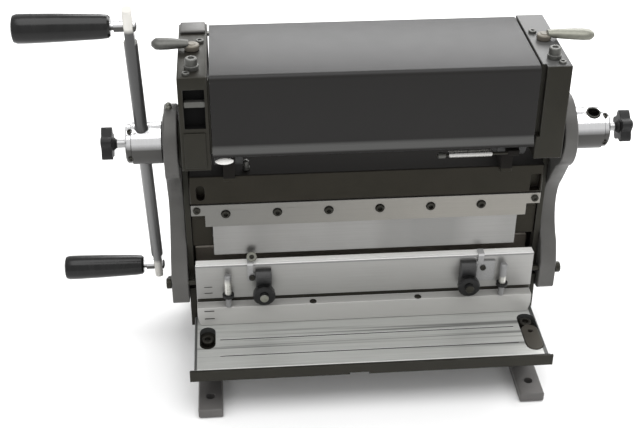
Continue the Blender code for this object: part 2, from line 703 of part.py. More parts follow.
def hubs():
    for word, side in SIDES.items():
        length = HUB_OUT - HUB_IN
        deep = SHAFT_END - HUB_IN + GAP
        bore = SHAFT_R + GAP
        floor = length - HUB_THREAD_DEEP
        rim = HUB_R - HUB_RIM
        profile = [(0.0, floor), (HUB_THREAD_R, floor), (HUB_THREAD_R, length),
                   (rim - HUB_RIM, length), (rim, length - HUB_RIM), (rim, length - 5.0),
                   (HUB_R, length - 6.0), (HUB_R, 1.0), (HUB_R - 1.0, 0.0), (bore, 0.0),
                   (bore, deep), (0.0, deep)]
        hub = turned(word + "_hub", profile, (side * HUB_IN, SHAFT_Y, SHAFT_Z), axis_x(side), CHROME,
                     sides=26)
        along = Vector((0.0, -math.sin(LEVER_TILT), math.cos(LEVER_TILT)))
        middle = Vector((side * LEVER_X, SHAFT_Y, SHAFT_Z))
        hole = rod(word + "_cross_hole", ROD_R + GAP, middle - along * 30, middle + along * 30,
                   sides=24)
        cut(hub, [hole])


def lever_rods():
    for name, start, end, grip in (("upper_lever_rod", 1.0, UPPER_ROD, UPPER_GRIP_AT),
                                   ("lower_lever_rod", 1.0, LOWER_ROD, LOWER_GRIP_AT)):
        way = 1 if name.startswith("upper") else -1
        profile = [(0.0, end), (ROD_R - 1.5, end), (ROD_R, end - 1.5), (ROD_R, start), (0.0, start)]
        turn = (LEVER_TILT if way > 0 else LEVER_TILT + math.pi, 0.0, 0.0)
        bar = turned(name, profile, (-LEVER_X, SHAFT_Y, SHAFT_Z), turn, ROD_STEEL, sides=16)
        flats = []
        for edge in (-1, 1):
            flat = box(name + "_flat_" + ("in" if edge < 0 else "out"),
                       [-value for value in ROD_FLAT_HALF], ROD_FLAT_HALF)
            spot = lever_point(way * (grip + ROD_FLAT_SHIFT))
            flat.location = Vector((spot[0] + edge * ROD_FLAT_X, spot[1], spot[2])) * MM
            flat.rotation_euler.x = LEVER_TILT
            flats.append(flat)
        cut(bar, flats)


def grips():
    for name, along in (("upper", UPPER_GRIP_AT), ("lower", -LOWER_GRIP_AT)):
        spot = lever_point(along)
        spindle_x = -(LEVER_X + 4.0 + GAP)
        reach = GRIP_IN + GRIP_LENGTH - GRIP_CROWN - 1.0 + spindle_x
        spindle = [(0.0, reach), (SPINDLE_R, reach), (SPINDLE_R, SPINDLE_COLLAR),
                   (SPINDLE_COLLAR_R, SPINDLE_COLLAR), (SPINDLE_COLLAR_R, 0.0), (0.0, 0.0)]
        turned(name + "_grip_spindle", spindle, (spindle_x, spot[1], spot[2]), axis_x(-1), CHROME,
               sides=12)
        turned(name + "_grip", GRIP_PROFILE, (-GRIP_IN, spot[1], spot[2]), axis_x(-1), BLACK, sides=22)


def lock_knobs():
    points = []
    for i in range(KNOB_POINTS):
        angle = 2 * math.pi * i / KNOB_POINTS
        radius = KNOB_R - KNOB_WAVE + KNOB_WAVE * math.cos(KNOB_LOBES * angle)
        points.append((radius * math.cos(angle), radius * math.sin(angle)))
    for word, side in SIDES.items():
        x = side * (KNOB_IN + KNOB_OUT) / 2
        knob = outline(word + "_lock_knob", [points], KNOB_OUT - KNOB_IN, (x, SHAFT_Y, SHAFT_Z),
                       FACE_X, BLACK)
        bevel(knob, ROUND["knob"])
        stem = turned(word + "_knob_stem", KNOB_STEM_PROFILE, (side * KNOB_IN, SHAFT_Y, SHAFT_Z),
                      axis_x(side), sides=20)
        join(knob, [stem])


def rolls():
    spots = {"upper": (ROLL_Y, UPPER_ROLL_Z), "lower": (ROLL_Y, LOWER_ROLL_Z),
             "rear": (REAR_ROLL_Y, REAR_ROLL_Z)}
    journal = BRACKET_IN + JOURNAL_REACH
    beside_gear = GEAR_X + GEAR_WIDTH / 2 + ROLL_CLEAR - 0.5
    for word, (y, z) in spots.items():
        low = beside_gear if word != "rear" else -BRACKET_IN + ROLL_CLEAR
        high = BRACKET_IN - ROLL_CLEAR
        profile = [(0.0, journal), (JOURNAL_R, journal), (JOURNAL_R, high), (ROLL_R - 1.0, high),
                   (ROLL_R, high - 1.0), (ROLL_R, low + 1.0), (ROLL_R - 1.0, low), (JOURNAL_R, low),
                   (JOURNAL_R, -journal), (0.0, -journal)]
        turned(word + "_roll", profile, (0, y, z), axis_x(1), STEEL, sides=24)


def gear_points(phase):
    """Spur gear outline: straight-sided teeth between root and tip circles."""
    pitch_r = (UPPER_ROLL_Z - LOWER_ROLL_Z) / 2
    module = 2 * pitch_r / GEAR_TEETH
    root = pitch_r - GEAR_ROOT * module
    tip = pitch_r + GEAR_TIP * module
    wide, narrow = TOOTH_FLANKS
    step = 2 * math.pi / GEAR_TEETH
    points = []
    for tooth in range(GEAR_TEETH):
        middle = phase + tooth * step
        for share, radius in ((-wide, root), (-narrow, tip), (narrow, tip), (wide, root)):
            angle = middle + share * step
            points.append((radius * math.cos(angle), radius * math.sin(angle)))
    return points


def roll_gears():
    half_step = math.pi / GEAR_TEETH
    rows = (("upper", UPPER_ROLL_Z, -math.pi / 2 + half_step), ("lower", LOWER_ROLL_Z, math.pi / 2))
    for word, z, phase in rows:
        hole = arc((0, 0), JOURNAL_R + GAP, 360, 15, 23)
        outline(word + "_roll_gear", [gear_points(phase), hole], GEAR_WIDTH,
                (GEAR_X, ROLL_Y, z), FACE_X, ROD_STEEL)


def bracket_points():
    """Roll bracket seen from +X."""
    return [(BRACKET_FRONT, BRACKET_LOW), (BRACKET_FRONT, BRACKET_TOP - 1.0),
            (BRACKET_FRONT + 1.0, BRACKET_TOP), (COVER_BACK + 1.0, BRACKET_TOP), *BRACKET_BACK]


def roll_brackets():
    for word, side in SIDES.items():
        x = side * (BRACKET_IN + BRACKET_OUT) / 2
        body = outline(word + "_roll_bracket", [bracket_points()], BRACKET_OUT - BRACKET_IN,
                       (x, 0, 0), FACE_X, PAINT)
        bevel(body, ROUND["bracket"])
        pad = rod(word + "_bracket_pad", PAD_R, (side * (BRACKET_OUT - 3), SHAFT_Y, SHAFT_Z),
                  (side * (FRAME_IN - GAP), SHAFT_Y, SHAFT_Z), sides=24)
        join(body, [pad])
        cutters = [rod(word + "_shaft_clearance", SHAFT_R + 2.5,
                       (side * (BRACKET_IN - 5), SHAFT_Y, SHAFT_Z),
                       (side * (FRAME_IN + 5), SHAFT_Y, SHAFT_Z), sides=24)]
        bores = (("upper", JOURNAL_R, ROLL_Y, UPPER_ROLL_Z),
                 ("lower", JOURNAL_R, ROLL_Y, LOWER_ROLL_Z),
                 ("rear", JOURNAL_R, REAR_ROLL_Y, REAR_ROLL_Z),
                 ("hinge", HINGE_ROD_R, HINGE_Y, HINGE_Z))
        deep = BRACKET_IN + JOURNAL_REACH + 1.0
        for label, radius, y, z in bores:
            cutters.append(rod(word + "_" + label + "_bore", radius + JOURNAL_PLAY,
                               (side * (BRACKET_IN - 5), y, z), (side * deep, y, z), sides=16))
        for label, y in (("screw", ROLL_Y), ("lever", LEVER_PIVOT_Y)):
            cutters.append(rod(word + "_" + label + "_hole", PIVOT_HOLE_R,
                               (side * LEVER_PIVOT_X, y, BRACKET_TOP - 8),
                               (side * LEVER_PIVOT_X, y, BRACKET_TOP + 8), sides=12))
        if side < 0:
            cutters.append(box("left_bracket_recess", *LEFT_RECESS))
        else:
            width, depth, low = RIGHT_REBATE
            cutters.append(box("right_bracket_rebate", (BRACKET_IN - 2, BRACKET_FRONT - 4, low),
                               (BRACKET_IN + width, BRACKET_FRONT + depth, BRACKET_TOP + 4)))
        cut(body, cutters)


def roll_screws():
    for word, side in SIDES.items():
        turned(word + "_roll_screw", ROLL_SCREW_PROFILE,
               (side * LEVER_PIVOT_X, ROLL_Y, BRACKET_TOP + GAP), FACE_Z, ZINC, sides=12)


def cam_levers():
    """Roll release levers: an eye on a vertical pivot and a flat arm that thickens to its end."""
    for word, side in SIDES.items():
        x = side * LEVER_PIVOT_X
        eye = arc((0, 0), LEVER_EYE_R, 40, 320, 14)
        tip = arc((LEVER_REACH[word] - LEVER_TIP_R, 0), LEVER_TIP_R, -80, 80, 8)
        points = [(side * u, v) for u, v in eye + tip]
        arm = outline(word + "_cam_lever", [points], LEVER_H,
                      (x, LEVER_PIVOT_Y, BRACKET_TOP + GAP + LEVER_H / 2), FACE_Z, ZINC)
        bevel(arm, ROUND["lever"], 2)
        stem = rod(word + "_cam_stem", LEVER_STEM_R,
                   (x, LEVER_PIVOT_Y, BRACKET_TOP - LEVER_STEM_DEEP),
                   (x, LEVER_PIVOT_Y, BRACKET_TOP + LEVER_H / 2), sides=16)
        join(arm, [stem])


def roll_cover():
    """Folded sheet hood: front with a flared lip, top and short back, open at both ends."""
    inner = SHEET / 2
    front = BRACKET_FRONT + inner
    back = COVER_BACK - inner
    top = BRACKET_TOP - GAP - inner
    fold = top - COVER_FOLD_R
    line = [(front - COVER_LIP[0], COVER_LOW - COVER_LIP[1]), (front, COVER_LOW)]
    line += arc((front + COVER_FOLD_R, fold), COVER_FOLD_R, 180, 90, 4)
    line += arc((back - COVER_FOLD_R / 2, top - COVER_FOLD_R / 2), COVER_FOLD_R / 2, 90, 0, 3)
    line += [(back, COVER_BACK_LOW)]
    cage = bmesh.new()
    verts = [cage.verts.new((-COVER_HALF * MM, y * MM, z * MM)) for y, z in line]
    edges = [cage.edges.new(pair) for pair in zip(verts, verts[1:])]
    grown = bmesh.ops.extrude_edge_only(cage, edges=edges)
    moved = [v for v in grown["geom"] if isinstance(v, bmesh.types.BMVert)]
    bmesh.ops.translate(cage, verts=moved, vec=(2 * COVER_HALF * MM, 0.0, 0.0))
    bmesh.ops.translate(cage, verts=cage.verts, vec=(0.0, -HINGE_Y * MM, -HINGE_Z * MM))
    bmesh.ops.recalc_face_normals(cage, faces=cage.faces)
    mesh = bpy.data.meshes.new("roll_cover")
    cage.to_mesh(mesh)
    cage.free()
    smooth(mesh)
    hood = place(bpy.data.objects.new("roll_cover", mesh), COVER_PAINT, (0, HINGE_Y, HINGE_Z))
    wall = hood.modifiers.new("Sheet", "SOLIDIFY")
    wall.thickness = SHEET * MM
    wall.offset = 0.0
    wall.use_even_offset = True


def cover_hinge():
    reach = BRACKET_IN + 15.0
    rod("cover_hinge_rod", HINGE_ROD_R, (-reach, HINGE_Y, HINGE_Z), (reach, HINGE_Y, HINGE_Z),
        ROD_STEEL, 16)
    for word, side in SIDES.items():
        inner = HINGE_ROD_R + GAP
        ring = [(inner, KNUCKLE_HALF), (KNUCKLE_R, KNUCKLE_HALF), (KNUCKLE_R, -KNUCKLE_HALF),
                (inner, -KNUCKLE_HALF)]
        turned(word + "_cover_knuckle", ring, (side * KNUCKLE_X, HINGE_Y, HINGE_Z), axis_x(1),
               COVER_PAINT, sides=16, ring=True)


def guide_clamps():
    """Side guides on the beam's front: block, thumb screw, and a strap hooked over its edge."""
    back = BEAM_FRONT - GAP
    hook = BEAM_TOP + GAP
    inwards, down = CLAMP_SLOPE
    points = [(back, CLAMP_LOW), (back, CLAMP_TOP), (CLAMP_FRONT + inwards, CLAMP_TOP),
              (CLAMP_FRONT, CLAMP_TOP - down), (CLAMP_FRONT, CLAMP_LOW)]
    strap = [(back, STRAP_LOW), (back, hook), (STRAP_HOOK, hook), (STRAP_HOOK, hook + STRAP_T),
             (back - STRAP_T, hook + STRAP_T), (back - STRAP_T, STRAP_LOW)]
    for word, side in SIDES.items():
        x = side * CLAMP_X
        body = outline(word + "_guide_clamp", [points], CLAMP_WIDTH, (x, 0, 0), FACE_X, OXIDE)
        bevel(body, ROUND["clamp"])
        middle = x + side * sum(STRAP_X) / 2
        hooked = outline(word + "_guide_strap", [strap], STRAP_X[1] - STRAP_X[0], (middle, 0, 0), FACE_X)
        reach, low, high = PLATES[word]
        ends = sorted((x, x + side * reach))
        plate = box(word + "_guide_plate", (ends[0], back - STRAP_T + 0.2, low), (ends[1], back, high))
        join(body, [plate, hooked])
        bore = rod(word + "_thumb_bore", THUMB_BORE_R, (x, CLAMP_FRONT - 6, CLAMP_KNOB_Z),
                   (x, 3, CLAMP_KNOB_Z), sides=16)
        cut(body, [bore])
        turned(word + "_thumb_screw", THUMB_SCREW_PROFILE, (x, CLAMP_FRONT - GAP, CLAMP_KNOB_Z),
               FACE_Y, BLACK, sides=16)
        turned(word + "_gauge_pin", GAUGE_PIN_PROFILE, (side * PIN_X, PIN_Y, LEDGE_TOP + GAP),
               FACE_Z, CHROME, sides=12)


def build():
    base_casting()
    foot_bars()
    work_table()
    bed_beam()
    side_frames()
    ram_guides()
    ram()
    blades()
    main_shaft()
    hubs()
    lever_rods()
    grips()
    lock_knobs()
    rolls()
    roll_gears()
    roll_brackets()
    roll_screws()
    cam_levers()
    roll_cover()
    cover_hinge()
    guide_clamps()


clear_scene()
PARTS = new_collection("sheet_metal_brake")
CUTTERS = new_collection("cutters")
DATUM = bpy.data.objects.new("machine_datum", None)
PARTS.objects.link(DATUM)
DATUM.location = (OFFSET_X * MM, OFFSET_Y * MM, 0.0)
build()
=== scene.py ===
"""Looks for the three-in-one sheet metal machine: details, materials, light and camera.

Lengths are millimetres. Places are measured from the machine's own datum: x from the centre plane, y
backwards from the front of the clamp strip, z up from the bench.
"""

import math

import bmesh
import bpy
from mathutils import Matrix, Vector


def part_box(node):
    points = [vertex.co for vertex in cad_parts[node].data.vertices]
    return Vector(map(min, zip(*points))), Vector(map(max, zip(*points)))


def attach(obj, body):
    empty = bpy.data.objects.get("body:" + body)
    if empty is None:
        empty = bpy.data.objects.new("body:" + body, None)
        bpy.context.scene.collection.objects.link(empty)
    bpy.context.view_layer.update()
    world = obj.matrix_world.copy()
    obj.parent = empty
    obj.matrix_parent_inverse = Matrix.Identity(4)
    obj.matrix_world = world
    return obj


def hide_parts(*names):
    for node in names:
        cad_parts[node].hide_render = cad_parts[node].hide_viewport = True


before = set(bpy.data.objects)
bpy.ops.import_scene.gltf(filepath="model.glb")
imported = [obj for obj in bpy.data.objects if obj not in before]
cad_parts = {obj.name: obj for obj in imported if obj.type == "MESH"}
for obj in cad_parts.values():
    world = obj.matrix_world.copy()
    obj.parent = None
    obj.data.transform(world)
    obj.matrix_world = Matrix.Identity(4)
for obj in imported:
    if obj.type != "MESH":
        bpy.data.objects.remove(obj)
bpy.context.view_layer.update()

MM = 0.001
BEAM_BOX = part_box("bed_beam")
DATUM = Vector(((BEAM_BOX[0].x + BEAM_BOX[1].x) / 2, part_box("blade_clamp_strip")[0].y, 0.0))


def at(x, y, z):
    """Point given in millimetres from the machine's own datum."""
    return DATUM + Vector((x, y, z)) * MM


def corners(node):
    """Lowest and highest corners of a CAD node, in millimetres from the datum."""
    return [(corner - DATUM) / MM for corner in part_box(node)]


def middle(node):
    """Centre of a CAD node's box, in millimetres from the datum."""
    low_corner, high_corner = corners(node)
    return (low_corner + high_corner) / 2


def leaning(degrees):
    """Upward direction that leans to the front by an angle."""
    return Vector((0.0, -math.sin(math.radians(degrees)), math.cos(math.radians(degrees))))


ACROSS, BACK, UP = (Vector(way) for way in ((1, 0, 0), (0, 1, 0), (0, 0, 1)))
FRONT = -BACK
SIDES = {"left": -1, "right": 1}

BEAM_LOW, BEAM_HIGH = corners("bed_beam")
EDGE_LOW, EDGE_HIGH = corners("lower_shear_blade")
STRIP_LOW, STRIP_HIGH = corners("blade_clamp_strip")
BRACKET_LOW, BRACKET_HIGH = corners("right_roll_bracket")
RAM_LOW, RAM_HIGH = corners("ram")
BLADE_LOW = corners("upper_shear_blade")[0]
RAM_GUIDE_LOW = corners("right_ram_guide")[0]
FRAME_HIGH = corners("right_side_frame")[1]
TABLE_HIGH = corners("work_table")[1]
DIE_LOW, DIE_HIGH = corners("brake_v_die")
HUB_HIGH = corners("right_hub")[1]
SHAFT = middle("main_shaft")
ROLL_SCREW = middle("right_roll_screw")
GUIDE_BOX = {word: corners(word + "_guide_clamp") for word in SIDES}

BEAM_FACE = -5.0                # front of the beam above its ledge
LEDGE_TOP = 76.0
RAM_FACE_TOP = 222.7            # top edge of the ram's front face
GUIDE_SCREW = 108.6             # height of the small screw on the front of each side guide
STRAP_FROM = 112.1              # the guides' steel straps start this far from the centre plane
KNOB_STEM = 237.0               # the lock knobs' stems end this far from the centre plane
CRANK_PIN = 134.0               # middle of each crank pin, from the centre plane
YOKE_FRONT = -25.0              # y and height of the left yoke's painted glint and the right yoke's bright bar under the cover
YOKE_HEIGHT = 253.0
HUB_RADIUS = 20.0
LEVER_TILT = 16.7               # the lever rods' lean to the front, in degrees

CAMERA_AT = (-125.7, -963.3, 800.4)
CAMERA_DOWN = math.radians(32.86)
CAMERA_TURN = math.radians(4.69)
CAMERA_ROLL = math.radians(0.3)
CAMERA_LENS = 65.8
SENSOR_WIDTH = 36.0

# Lights and floor, in metres. Each soft box has a name, a place, its two sides and its power. The floor
# reaches this far each way, and lies this much below the feet.
LIGHT_TARGET = (0.0, 0.0, 0.2)
SOFTBOXES = (("overhead", (0.0, -0.3, 1.9), (2.0, 1.6), 26.0),
             ("back_sky", (0.95, 2.0, 1.55), (3.0, 1.3), 56.0))
SKY_STRENGTH = 0.85
FLOOR_REACH = 6.0
FLOOR_DROP = 0.0005

# How noise is stretched for tool marks that run along or around an axis, and for broader streaks.
ALONG_X = (14.0, 2600.0, 2600.0)
ALONG_Z = (1800.0, 1800.0, 20.0)
ROUND_X = (1500.0, 40.0, 40.0)
ROUND_Z = (40.0, 40.0, 1500.0)
EVEN = (300.0, 300.0, 300.0)
BROAD_STREAKS = (2.0, 190.0, 190.0)
UPRIGHT_BANDS = (16.0, 1.0, 1.0)

WARM = (1.12, 1.0, 0.84)
CREAM = (1.0, 1.0, 0.97)


# ---------------------------------------------------------------- materials

class Nodes:
    """One material's node tree, with the node patterns that the finishes share."""

    def __init__(self, name):
        self.material = bpy.data.materials.new(name)
        self.material.use_nodes = True
        self.tree = self.material.node_tree
        self.shader = self.tree.nodes["Principled BSDF"]

    def add(self, kind, inputs=None, **settings):
        """New shader node, with each input fed by a socket or set to a plain value."""
        node = self.tree.nodes.new("ShaderNode" + kind)
        for key, value in settings.items():
            setattr(node, key, value)
        for key, value in (inputs or {}).items():
            if isinstance(value, bpy.types.NodeSocket):
                self.tree.links.new(value, node.inputs[key])
            else:
                node.inputs[key].default_value = value
        return node

    def link(self, socket, target):
        """Feeds one input of the main shader."""
        self.tree.links.new(socket, self.shader.inputs[target])

    def noise(self, scale, detail=4.0, stretch=(1.0, 1.0, 1.0), roughness=0.55):
        """Noise that is finer along an axis where stretch is larger."""
        place = self.add("TexCoord").outputs["Object"]
        moved = self.add("Mapping", {"Vector": place, "Scale": stretch}).outputs["Vector"]
        node = self.add("TexNoise", {"Vector": moved, "Scale": scale, "Detail": detail,
                                     "Roughness": roughness})
        return node.outputs["Fac"]

    def spread(self, value, low, high, start=0.3, end=0.7):
        """Takes values from start to end over to the range from low to high, and clamps the rest."""
        node = self.add("MapRange", {"Value": value, "From Min": start, "From Max": end,
                                     "To Min": low, "To Max": high})
        return node.outputs["Result"]

    def mix(self, amount, first, second):
        """First colour where amount is 0, second colour where it is 1."""
        return self.add("Mix", {0: amount, 6: first, 7: second}, data_type="RGBA").outputs[2]

    def times(self, first, second):
        """1 where both masks are 1."""
        return self.add("Math", {0: first, 1: second}, operation="MULTIPLY", use_clamp=True).outputs[0]

    def most(self, first, second):
        """1 where either mask is 1."""
        return self.add("Math", {0: first, 1: second}, operation="MAXIMUM", use_clamp=True).outputs[0]

    def edges(self, radius, start=0.03, end=0.3):
        """1 along sharp edges, 0 on open faces."""
        soft = self.add("Bevel", {"Radius": radius * MM}, samples=4).outputs["Normal"]
        plain = self.add("NewGeometry").outputs["Normal"]
        dot = self.add("VectorMath", {0: soft, 1: plain}, operation="DOT_PRODUCT").outputs["Value"]
        away = self.add("Math", {0: 1.0, 1: dot}, operation="SUBTRACT").outputs[0]
        return self.spread(away, 0.0, 1.0, start, end)

    def place(self, axis):
        """Where the surface is along X, Y or Z, in metres."""
        whole = self.add("TexCoord").outputs["Object"]
        return self.add("SeparateXYZ", {"Vector": whole}).outputs[axis]

    def along(self, axis, start, end):
        """0 to 1 ramp along X, Y or Z, between two places."""
        shift = DATUM["XYZ".index(axis)]
        return self.spread(self.place(axis), 0.0, 1.0, shift + start * MM, shift + end * MM)

    def band(self, axis, start, end, fade):
        """1 between two places along X, Y or Z, fading to 0 across each."""
        rise = self.along(axis, start - fade / 2, start + fade / 2)
        fall = self.along(axis, end + fade / 2, end - fade / 2)
        return self.times(rise, fall)

    def off_centre(self):
        """Distance from the centre plane, in metres."""
        across = self.add("Math", {0: self.place("X"), 1: -DATUM.x}, operation="ADD").outputs[0]
        return self.add("Math", {0: across}, operation="ABSOLUTE").outputs[0]

    def outwards(self, start, end):
        """0 to 1 ramp between two distances from the centre plane."""
        return self.spread(self.off_centre(), 0.0, 1.0, start * MM, end * MM)

    def shade_facing_down(self, start=0.42, end=0.12):
        """Painted shade mask: 0 where a face looks up, rising to 1 where it looks level or down."""
        normal = self.add("NewGeometry").outputs["Normal"]
        up = self.add("SeparateXYZ", {"Vector": normal}).outputs["Z"]
        return self.spread(up, 1.0, 0.0, end, start)

    def blend_shader(self, amount, colour, rough, metallic, gloss=0.5):
        """Second plain finish laid over the first where amount is 1."""
        other = self.add("BsdfPrincipled", {"Base Color": colour, "Roughness": rough,
                                            "Metallic": metallic, "Specular IOR Level": gloss})
        mixed = self.add("MixShader", {"Fac": amount, 1: self.shader.outputs[0], 2: other.outputs[0]})
        self.tree.links.new(mixed.outputs[0], self.tree.nodes["Material Output"].inputs["Surface"])

    def bump(self, height, strength, distance, radius):
        """Fine relief, over edges that are rounded by radius."""
        rounded = self.add("Bevel", {"Radius": radius * MM}, samples=4).outputs["Normal"]
        node = self.add("Bump", {"Height": height, "Strength": strength, "Distance": distance * MM,
                                 "Normal": rounded})
        self.link(node.outputs["Normal"], "Normal")

    def plain(self, target, value):
        """Sets one input of the main shader to a value that is the same all over."""
        self.shader.inputs[target].default_value = value


def rgba(grey, tint=(1.0, 1.0, 1.0)):
    """Colour of a given brightness, with an optional tint."""
    return (grey * tint[0], grey * tint[1], grey * tint[2], 1.0)


def painted(name, grey, rough, grain, tint=WARM, wear=0.3, gloss=0.3, cloudy=1.0):
    """Satin paint over metal: faintly cloudy tone, orange-peel grain and rubbed edges."""
    n = Nodes(name)
    cloud = n.spread(n.noise(scale=22.0, detail=5.0), 0.0, 1.0)
    darker, paler = grey * (1 - 0.15 * cloudy), grey * (1 + 0.2 * cloudy)
    tone = n.mix(cloud, rgba(darker, tint), rgba(paler, tint))
    patchy = n.spread(n.noise(scale=90.0, detail=3.0), 0.0, 1.0, start=0.42, end=0.66)
    rubbed = n.times(n.edges(radius=1.2), patchy)
    bare = rgba(0.2)
    n.link(n.mix(n.spread(rubbed, 0.0, wear, 0.0, 1.0), tone, bare), "Base Color")
    n.link(n.spread(n.noise(scale=60.0), rough - 0.04 * cloudy, rough + 0.06 * cloudy), "Roughness")
    n.bump(n.noise(grain, detail=3.0), strength=0.25, distance=0.3, radius=0.8)
    n.plain("Metallic", 0.0)
    n.plain("Specular IOR Level", gloss)
    n.plain("Specular Tint", rgba(1.0, [min(1.0, value) for value in tint]))
    return n


def metal(name, grey, rough, stretch, tint=(1.0, 0.99, 0.96), depth=0.04, stain=0.15, metallic=1.0,
          contrast=0.06, bright=1.35):
    """Machined metal: fine tool marks, faint stains and bright corners."""
    n = Nodes(name)
    marks = n.noise(scale=1.0, detail=3.0, stretch=stretch, roughness=0.7)
    darker, paler = rgba(grey * (1 - contrast), tint), rgba(grey * (1 + contrast), tint)
    tone = n.mix(n.spread(marks, 0.0, 1.0, start=0.35, end=0.65), darker, paler)
    stained = n.spread(n.noise(scale=11.0, detail=6.0), 0.0, stain, start=0.45, end=0.75)
    tone = n.mix(stained, tone, rgba(grey * 0.7, (1.0, 0.96, 0.88)))
    corner = rgba(min(1.0, grey * bright))
    n.link(n.mix(n.edges(radius=0.9), tone, corner), "Base Color")
    n.link(n.spread(marks, rough - 0.05, rough + 0.07), "Roughness")
    n.bump(marks, strength=0.25, distance=depth, radius=0.4)
    n.plain("Metallic", metallic)
    return n


def lever_finish(name, grey, shade, start, end, bright):
    """Drawn bar, with darker painted shade where it looks level or down, and polished past end, where a grip
    is riveted on.
    """
    n = metal(name, grey, rough=0.36, stretch=ALONG_Z, tint=(1.0, 0.99, 0.93))
    tip = n.along("Z", start, end)
    colour = n.mix(tip, rgba(shade), rgba(bright, (1.0, 0.98, 0.92)))
    # Painted shade on the faces that look level or down, and the polished end.
    n.blend_shader(n.most(n.shade_facing_down(), tip), colour, rough=0.3, metallic=0.5)
    return n


def hub_finish():
    """Bright plated metal, with duller, darker painted shade where it looks level or down."""
    n = metal("hub_chrome", grey=0.72, rough=0.16, stretch=ROUND_X, tint=(0.99, 0.99, 1.0), stain=0.05,
              depth=0.01, contrast=0.03, bright=1.1)
    # Painted shade on the faces that look level or down.
    n.blend_shader(n.shade_facing_down(), rgba(0.06, (1.0, 0.98, 0.93)), rough=0.35, metallic=0.6)
    return n


def plastic(name, grey, rough):
    """Glossy black moulding with fine scuffs."""
    n = Nodes(name)
    scuff = n.noise(scale=160.0, stretch=(1.0, 0.25, 0.25))
    n.link(n.mix(n.spread(scuff, 0.0, 1.0), rgba(grey), rgba(grey * 1.9)), "Base Color")
    n.link(n.spread(scuff, rough - 0.04, rough + 0.06), "Roughness")
    n.bump(n.noise(scale=300.0, detail=2.0), strength=0.12, distance=0.1, radius=0.5)
    n.plain("Metallic", 0.0)
    n.plain("Specular IOR Level", 0.3)
    return n


def gauge_pin_finish():
    """Bright stud above a near-black band of painted shade, with a plain stem and top; the right one's top
    starts lower.
    """
    n = metal("gauge_pin_chrome", grey=0.62, rough=0.3, stretch=ROUND_Z, tint=(1.0, 0.99, 0.93))
    collar_base, collar_top, right_bright_end, left_bright_end = 87.9, 92.0, 99.5, 109.0
    below_stud = n.along("Z", collar_top + 0.2, collar_top - 0.2)
    # The collar band is painted shade, near-black.
    collar = n.times(n.along("Z", collar_base - 0.3, collar_base + 0.3), below_stud)
    right_half = n.along("X", -1.0, 1.0)
    right_top = n.times(right_half, n.along("Z", right_bright_end - 1.5, right_bright_end + 1.5))
    left_top = n.along("Z", left_bright_end - 3.0, left_bright_end + 3.0)
    dull = n.most(below_stud, n.most(left_top, right_top))
    n.blend_shader(dull, n.mix(collar, rgba(0.24), rgba(0.012)), rough=0.45, metallic=0.3)
    return n


def guide_finish():
    """Blackened block with a plain steel strap on its outer side, and a painted highlight along the strap's
    top.
    """
    n = Nodes("guide_clamp_finish")
    strap = n.outwards(STRAP_FROM, STRAP_FROM + 0.2)
    # Painted highlight along the strap's top.
    strap_top_highlight = n.along("Z", GUIDE_BOX["left"][1].z - 3.0, GUIDE_BOX["left"][1].z - 2.4)
    grain = n.noise(scale=700.0, detail=3.0)
    cloud = n.spread(grain, 0.0, 1.0)
    dark = n.mix(n.edges(radius=0.8), n.mix(cloud, rgba(0.012), rgba(0.03)), rgba(0.12))
    steel = n.mix(strap_top_highlight, n.mix(cloud, rgba(0.27), rgba(0.34)), rgba(0.55))
    n.link(n.mix(strap, dark, steel), "Base Color")
    n.link(n.spread(strap, 0.0, 0.5, 0.0, 1.0), "Metallic")
    n.link(n.spread(grain, 0.35, 0.5), "Roughness")
    n.bump(grain, strength=0.2, distance=0.1, radius=0.5)
    return n


def shaft_finish():
    """Journals and pins kept dark, and crank webs near-black, as painted shade under the cover."""
    n = metal("crankshaft_steel", grey=0.14, rough=0.3, stretch=ROUND_X)
    pin_end, web_end = 6.5, 13.8
    past_pin = n.add("Math", {0: n.off_centre(), 1: CRANK_PIN * MM}, operation="SUBTRACT").outputs[0]
    from_pin = n.add("Math", {0: past_pin}, operation="ABSOLUTE").outputs[0]
    # Painted shade: the crank webs go near-black.
    web = n.times(n.spread(from_pin, 0.0, 1.0, (pin_end - 0.1) * MM, (pin_end + 0.1) * MM),
                  n.spread(from_pin, 1.0, 0.0, (web_end - 0.1) * MM, (web_end + 0.1) * MM))
    n.blend_shader(web, rgba(0.02), rough=0.6, metallic=0.2)
    return n


def casting(name):
    """Dark satin casting paint."""
    return painted(name, grey=0.011, rough=0.43, grain=900.0, gloss=0.26)


def ram_finish():
    """Casting paint on the front, oily and matt above the front face."""
    n = painted("ram_paint", grey=0.009, rough=0.44, grain=900.0, tint=(1.3, 1.0, 0.8), gloss=0.23)
    above = n.along("Z", RAM_FACE_TOP, RAM_FACE_TOP + 0.5)
    n.blend_shader(above, rgba(0.013, (1.1, 1.0, 0.9)), rough=0.85, metallic=0.0, gloss=0.1)
    return n


def pocketed_finish():
    """Casting paint, with painted shade that darkens the recess in the front face."""
    n = casting("left_bracket_paint")
    wide = n.band("X", -171.75, -152.25, fade=0.3)
    deep = n.band("Y", BRACKET_LOW.y + 1.05, BRACKET_LOW.y + 7.5, fade=0.6)
    high = n.band("Z", 295.8, 335.2, fade=0.4)
    recess = n.times(deep, n.times(high, wide))
    # Painted shade inside the recess.
    n.blend_shader(recess, rgba(0.004), rough=0.8, metallic=0.0, gloss=0.1)
    return n


def bracket_finish():
    """Casting paint, with a painted highlight that makes the top face paler."""
    n = casting("bracket_paint")
    top = n.along("Z", BRACKET_HIGH.z - 0.6, BRACKET_HIGH.z - 0.1)
    # Painted highlight on the top face.
    n.blend_shader(top, rgba(0.07, (1.0, 1.0, 0.98)), rough=0.4, metallic=0.0, gloss=0.3)
    return n


